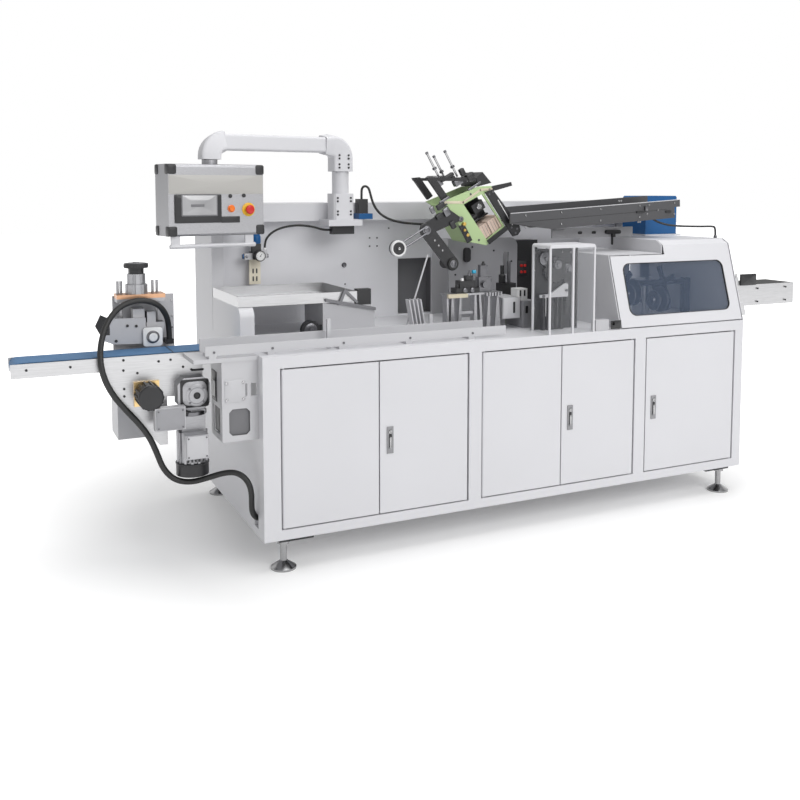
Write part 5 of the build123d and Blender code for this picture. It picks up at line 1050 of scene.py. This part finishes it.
TURNED = {
    "motor_caps": [
        ("black_plastic", (-412, 140, 742), FRONT, ((49, -20), (50, -2), (45, 3), (20, 4.5), (POINT, 5))),
        ("aluminium", (GEARBOX_BOSS[0], 180, GEARBOX_BOSS[1]), FRONT,
         ((46, 0), (46, 4), (42, 5.5), (35, 5.5), (34, 3))),
        ("black_plastic", (GEARBOX_BOSS[0], 171.9, GEARBOX_BOSS[1]), FRONT,
         ((14, 0), (14, 2), (11, 3), (9, 1), (POINT, 1))),
        ("dark_steel", (-240, 206, 650), TOP, ((56, 0), (60, 2), (60, 16), (56, 18))),
        ("dark_paint", (-240, 206, 446), TOP, ((66.5, 0), (68, 2), (68, 7), (62, 9))),
        *[("dark_steel", (x, 175, z), FRONT, FLANGE_SCREW)
          for x, z in circle(GEARBOX_BOSS, 40, (0.8, 2.36, 3.93, 5.5))],
        ("black_plastic", (-300, 161, 664), RIGHT, ((13, 18), (13, 32), (10, 36), (8, 46), (POINT, 46)))],
    "bearing_rings": [
        ("dark_steel", (-352, 410, 944), FRONT, ((27, 0), (27, 2.5), (24, 3.5), (20, 3.5))),
        ("white_plastic", (-352, 402, 944), FRONT,
         ((18, -6), (18, 1), (16, 2.5), (6, 2.5), (5, 1), (POINT, 1)))],
    "wall_grommet": [
        ("dark_steel", (708, 900, 1175), FRONT, ((13, 0), (13, 3), (10, 5), (7, 4), (6, 1), (POINT, 1)))],
    "platform_fittings": [
        ("black_plastic", (1030, 275, 1101), TOP, ((10, 0), (10, 14), (7, 17), (POINT, 17))),
        ("white_plastic", (1052, 268, 1135), TOP, ((8, 0), (8, 9), (5, 12), (POINT, 12))),
        ("dark_steel", (1094, 275, 1157), TOP, ((8, 0), (8, 12), (4, 14), (4, 26), (POINT, 26))),
        ("cyan_plastic", (1111, 262, 1176), LEFT, ((9, -8), (9, 6), (7, 8), (POINT, 8))),
        ("dark_steel", (1111, 262, 1156), TOP, ((5, 0), (5, 30), (POINT, 30))),
        *[("dark_steel", (x, 254, 1090), FRONT, SHORT_PEG) for x in (1060, 1100)],
        ("black_plastic", (1160, 258, 1205), TOP, ((10, 0), (10, 8), (6, 10), (6, 18), (POINT, 19))),
        ("black_plastic", (1430, 530, 1085), TOP, ((18, 0), (18, 40), (10, 46), (10, 90), (POINT, 90))),
        ("dark_steel", (1470, 530, 1085), TOP, ((9, 0), (9, 110), (6, 112), (POINT, 112)))],
    "guard_discs": [
        ("dark_steel", (1440, 161.9, 1235), FRONT,
         ((34, 0), (34, 12), (28, 14), (10, 14), (8, 20), (POINT, 20))),
        ("mid_grey", (1500, 146, 1205), FRONT, ((20, 0), (20, 12), (12, 14), (10, 20), (POINT, 20))),
        ("dark_steel", (1570, 161.9, 1180), FRONT,
         ((26, 0), (26, 10), (20, 12), (8, 12), (7, 18), (POINT, 18))),
        ("polished_steel", (1440, 148, 960), TOP, ((6, 0), (6, 90), (POINT, 90))),
        ("black_plastic", (1560, 150, 960), TOP, ((16, 0), (16, 60), (8, 64), (8, 100), (POINT, 100)))],
    "rotor_discs": [
        *[("dark_steel", (x, 300, z), LEFT, folding_disc(radius)) for x, z, radius in (
            (2054, 1020, 58), (2086, 1030, 66), (2223, 980, 50), (2263, 984, 64), (2301, 968, 44))],
        *[("dark_steel", (x, *ROTOR_AXIS), LEFT, ROTOR_DISC) for x in (1856, 1884, 1942, 1968, 2016)],
        *[("polished_steel", (x, y, z), LEFT, ROTOR_SCREW) for x in (1856, 1942, 2016)
          for y, z in circle(ROTOR_AXIS, 48, np.linspace(0.3, 5.5, 6))]],
    "magazine_brass": [
        ("brass", head(150, 44, 366), FRONT, ((9, -8), (9, 8), (6, 10), (POINT, 10))),
        ("brass", head(176, 30, 366), FRONT, ((7, -8), (7, 10), (4, 12), (POINT, 12))),
        ("brass", head(206, 34, 366), FRONT, ((8, -8), (8, 7), (5, 9), (POINT, 9))),
        ("dark_steel", head(120, 40, 366), FRONT, ((13, -8), (13, 6), (9, 9), (4, 9), (4, 4), (POINT, 4))),
        ("polished_steel", head(127, 168, 390), FRONT,
         ((14, -8), (14, 3), (11, 5), (5, 5), (5, 2), (POINT, 2)))],
    "ramp_knob": [
        ("dark_steel", (330, 351.9, 937), FRONT,
         ((30, 0), (30, 2), (26, 4), (12, 4), (10, 9), (POINT, 10)))],
}

# The chute's near side leans up to the right. Its lines: middle, the three sizes, finish, corner, edge
CHUTE_ALONG, CHUTE_UP = (0.9982, 0, 0.0593), (-0.0593, 0, 0.9982)
# The first line, a light grey strip along the top edge, is a painted highlight; the second is a dark seam
CHUTE_HIGHLIGHT_AND_SEAM = (((1880, 330, 1477), 1056, 4, 1.2, "light_grey", 1.5, 0.4),
               ((1840, 330, 1428), 960, 2, 0.8, "black_plastic", 0.8, 0.2))

# The screws of the two motors' terminal covers: middle, and how far out they sit across and up
COVERS = (((-242, 94, 536), 36, 38), ((-338, 135, 651), 48, 34))
COVER_SCREW = 3.5

# The hand wheel of the marking unit
WHEEL_PLACE, WHEEL_RADIUS, WHEEL_KNURL, WHEEL_RIBS = (-408, 455), 49.6, 0.8, 30
WHEEL_LOW, WHEEL_HIGH, WHEEL_CROWN, WHEEL_BEVEL = 1237, 1252, 1254, 2

# The thin stiff pipe from under the chute to the hood's roof
PIPE_RADIUS = 5.5
PIPE_FOOT = ((14, -2), (14, 4), (9, 6), (9, 20), (6, 23))
PIPE_CORNERS = ((2226, 350, 1417), (2268, 335, 1388), (2332, 300, 1370), (2459, 230, 1367),
                (2508, 200, 1369), (2538, 200, 1364), (2538, 200, 1298))


def rounded_path(corners, passes=4):
    """A path through the corners, rounded by cutting every corner at a quarter of its sides, four times."""
    path = np.array(corners, float)
    for _ in range(passes):
        near, far = 0.75 * path[:-1] + 0.25 * path[1:], 0.25 * path[:-1] + 0.75 * path[1:]
        inner = np.stack([near, far], 1).reshape(-1, 3)
        path = np.vstack([path[:1], inner[1:-1], path[-1:]])
    return path


class MACHINE_OT_hardware(Operator):
    """Sets the screws, plates, caps and discs that dress the machine's open mechanism"""
    bl_idname = "machine.hardware"
    bl_label = "Hardware"

    def execute(self, context):
        for name, finish_name, radius, facing, places in SCREWS:
            group = Detail()
            bolts(group, places, facing, radius, finish_name)
            group.lay(name, "machine")
        for name, plates in PLATES.items():
            group = Detail()
            for finish_name, centre, facing, width, height, thick, corner in plates:
                edge = min(EDGE, thick / 2)
                group.slab(centre, *FACES[facing], width, height, thick, finish_name, corner, edge)
            group.lay(name, "machine")
        for name, forms in TURNED.items():
            group = Detail()
            for finish_name, centre, axis, profile in forms:
                group.turned(centre, axis, profile, finish_name, 28)
            group.lay(name, "machine")
        # A painted highlight along the chute's top edge, and a dark seam below it
        lines = Detail()
        for middle, length, width, thick, finish_name, corner, edge in CHUTE_HIGHLIGHT_AND_SEAM:
            lines.slab(middle, CHUTE_ALONG, CHUTE_UP, length, width, thick, finish_name, corner, edge)
        lines.lay("chute_edge_highlight_and_seam", "machine")
        pipe = Detail()
        pipe.tube(rounded_path(PIPE_CORNERS), PIPE_RADIUS, "black_plastic", 14)
        pipe.turned(PIPE_CORNERS[-1], TOP, PIPE_FOOT, "dark_steel", 24)
        pipe.lay("hood_pipe", "machine")
        screws = Detail()
        for (x, y, z), across, up in COVERS:
            places = [(x + side, y, z + rise) for side in (-across, across) for rise in (-up, up)]
            bolts(screws, places, FRONT, COVER_SCREW, "dark_steel")
        screws.lay("cover_screws", "machine")
        wheel = Detail()
        rings = ((WHEEL_BEVEL, WHEEL_LOW), (0, WHEEL_LOW + WHEEL_BEVEL), (0, WHEEL_HIGH - WHEEL_BEVEL),
                 (WHEEL_BEVEL, WHEEL_HIGH))
        ribbed(wheel, WHEEL_PLACE, WHEEL_RADIUS, WHEEL_KNURL, WHEEL_RIBS, rings, "dark_paint", phase=0.01)
        wheel.turned((*WHEEL_PLACE, WHEEL_CROWN), TOP, ((38, 0), (37, 2), (14, 2), (12, 5), (POINT, 5.5)),
                     "mid_grey", 32)
        wheel.lay("hand_wheel_rim", "wheel")
        return {"FINISHED"}


# Studio: the camera's place, tilt and turn in degrees, and shift, solved from the photo's straight edges
CAMERA_PLACE, CAMERA_TILT, CAMERA_TURN, CAMERA_SHIFT = (-1058, -3551, 1565), -4.73, -25.09, -134 / 800
SENSOR_WIDTH, FAR_END = 36.0, 200.0

# Where the lights stand and look, and their sizes, in metres
LIGHT_TARGET = (0, 0, 0.8)
KEY_PLACE, KEY_SIZE = (1.6, -7.5, 5.2), (5, 4)
TOP_PLACE, TOP_SIZE = (1.0, -0.5, 6.5), (6, 4)

# The grey bands that mirrors show: their scale and their darkest share
BAND_SCALE, BAND_LOW = 0.55, 0.30

# The floor turns white between these distances from the machine's middle, in metres
SHADOW_END, WHITE_START = 1.5, 3.4


def flat_grid(name, half, height):
    """A level square: x and y each run from -half to half over a grid of two parameters, z is constant."""
    count = 5
    steps = np.linspace(-half, half, count)
    x, y = np.meshgrid(steps, steps)
    points = np.stack([x, y, np.full_like(x, height)], axis=-1).reshape(-1, 3)
    index = np.arange(count ** 2).reshape(count, count)
    corners = [index[:-1, :-1], index[:-1, 1:], index[1:, 1:], index[1:, :-1]]
    faces = np.stack([corner.ravel() for corner in corners], axis=1)
    mesh = bpy.data.meshes.new(name)
    mesh.from_pydata(points.tolist(), [], faces.tolist())
    made = bpy.data.objects.new(name, mesh)
    bpy.context.scene.collection.objects.link(made)
    return made


def area_light(name, place, target, size, power):
    """A rectangular light of that size, turned to its target."""
    data = bpy.data.lights.new(name, "AREA")
    data.shape = "RECTANGLE"
    data.size, data.size_y = size
    data.energy = power
    lamp = bpy.data.objects.new(name, data)
    lamp.location = place
    lamp.rotation_euler = (Vector(target) - Vector(place)).to_track_quat("-Z", "Y").to_euler()
    bpy.context.scene.collection.objects.link(lamp)


def seen_directly(tree):
    """1 for what the camera, a mirror or a clear sheet sees, and 0 for light that spreads."""
    path = tree.nodes.new("ShaderNodeLightPath")
    source = path.outputs["Is Camera Ray"]
    for name in ("Is Glossy Ray", "Is Transmission Ray"):
        either = tree.nodes.new("ShaderNodeMath")
        either.operation = "MAXIMUM"
        tree.links.new(source, either.inputs[0])
        tree.links.new(path.outputs[name], either.inputs[1])
        source = either.outputs[0]
    return source


def studio_world(strength):
    """White all round: white to the camera and through clear sheets, softer as a light, and in soft light
    and grey bands to whatever mirrors it."""
    world = bpy.data.worlds.new("studio")
    world.use_nodes = True
    tree = world.node_tree
    shown = tree.nodes["Background"]
    shown.inputs["Color"].default_value = (1, 1, 1, 1)
    level = tree.nodes.new("ShaderNodeMapRange")
    level.inputs["To Min"].default_value = strength
    level.inputs["To Max"].default_value = 1.0
    tree.links.new(seen_directly(tree), level.inputs["Value"])
    path = tree.nodes.new("ShaderNodeLightPath")
    coords = tree.nodes.new("ShaderNodeTexCoord")
    bands = tree.nodes.new("ShaderNodeTexWave")
    bands.inputs["Scale"].default_value = BAND_SCALE
    tree.links.new(coords.outputs["Generated"], bands.inputs["Vector"])
    soft = tree.nodes.new("ShaderNodeMapRange")
    soft.inputs["To Min"].default_value = BAND_LOW
    tree.links.new(bands.outputs["Fac"], soft.inputs["Value"])
    blend = tree.nodes.new("ShaderNodeMix")
    tree.links.new(path.outputs["Is Glossy Ray"], blend.inputs["Factor"])
    tree.links.new(level.outputs["Result"], blend.inputs["A"])
    tree.links.new(soft.outputs["Result"], blend.inputs["B"])
    tree.links.new(blend.outputs["Result"], shown.inputs["Strength"])
    bpy.context.scene.world = world


class MACHINE_OT_stage(Operator):
    """Lays the floor and sets the lights, the world and the camera"""
    bl_idname = "machine.stage"
    bl_label = "Stage"

    def execute(self, context):
        settings = context.scene.machine_stage
        floor = flat_grid("floor", settings.floor_size / 2, 0.0)
        paint = Shader("floor_paint")
        paint.vary_colour(paint.noise(0.4), shade(settings.floor_colour, 0.99), settings.floor_colour)
        paint.set(Roughness=0.9, Specular__IOR__Level=0.1)
        self.lighten(paint, settings)
        floor.data.materials.append(paint.material)
        studio_world(settings.world_light)
        area_light("key", KEY_PLACE, LIGHT_TARGET, KEY_SIZE, settings.key_power)
        area_light("top", TOP_PLACE, LIGHT_TARGET, TOP_SIZE, settings.top_power)
        camera_data = bpy.data.cameras.new("photo_view")
        camera_data.lens = settings.camera_lens
        camera_data.sensor_width = SENSOR_WIDTH
        camera_data.shift_y = CAMERA_SHIFT
        camera_data.clip_end = FAR_END
        camera = bpy.data.objects.new("photo_view", camera_data)
        camera.location = at(*CAMERA_PLACE)
        camera.rotation_euler = (math.radians(90 + CAMERA_TILT), 0, math.radians(CAMERA_TURN))
        context.scene.collection.objects.link(camera)
        context.scene.camera = camera
        context.scene.view_settings.view_transform = "Standard"
        return {"FINISHED"}

    def lighten(self, paint, settings):
        """Lifts the floor to white where it is seen directly, most of all far from the machine, so only
        the soft shadow under the machine shows."""
        coords = paint.node("ShaderNodeTexCoord").outputs["Object"]
        distance = paint.node("ShaderNodeVectorMath")
        distance.operation = "LENGTH"
        paint.link(coords, distance.inputs[0])
        far = paint.node("ShaderNodeMapRange", From__Min=SHADOW_END, From__Max=WHITE_START,
                         To__Min=settings.floor_lift, To__Max=1.0)
        paint.link(distance.outputs["Value"], far.inputs["Value"])
        lift = paint.maths("MULTIPLY", far.outputs["Result"], seen_directly(paint.tree))
        paint.link(lift, paint.bsdf.inputs["Emission Strength"])
        paint.set(Emission__Color=(1, 1, 1))


class MACHINE_PT_panel(Panel):
    """Lists the steps that dress the machine"""
    bl_idname = "MACHINE_PT_panel"
    bl_label = "Packing machine"
    bl_space_type = "VIEW_3D"
    bl_region_type = "UI"
    bl_category = "Packing machine"

    def draw(self, context):
        for operator in OPERATORS:
            self.layout.operator(operator.bl_idname)


SETTINGS = {"machine_stage": StageSettings, "machine_hose": HoseSettings, "machine_finish": FinishSettings}
OPERATORS = [MACHINE_OT_finishes, MACHINE_OT_stage, MACHINE_OT_hoses, MACHINE_OT_panel_face,
             MACHINE_OT_door_locks, MACHINE_OT_hood_gasket, MACHINE_OT_arm_elbows, MACHINE_OT_regulator,
             MACHINE_OT_magazine, MACHINE_OT_picker_parts, MACHINE_OT_hardware]


def register():
    for settings in SETTINGS.values():
        bpy.utils.register_class(settings)
    for operator in OPERATORS:
        bpy.utils.register_class(operator)
    bpy.utils.register_class(MACHINE_PT_panel)
    for name, settings in SETTINGS.items():
        setattr(bpy.types.Scene, name, PointerProperty(type=settings))


def unregister():
    for name in SETTINGS:
        delattr(bpy.types.Scene, name)
    for known in [MACHINE_PT_panel, *reversed(OPERATORS), *reversed(list(SETTINGS.values()))]:
        bpy.utils.unregister_class(known)


def main():
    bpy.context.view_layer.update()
    register()
    for operator in OPERATORS:
        family, name = operator.bl_idname.split(".")
        getattr(getattr(bpy.ops, family), name)()
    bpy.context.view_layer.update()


if __name__ == "__main__":
    main()
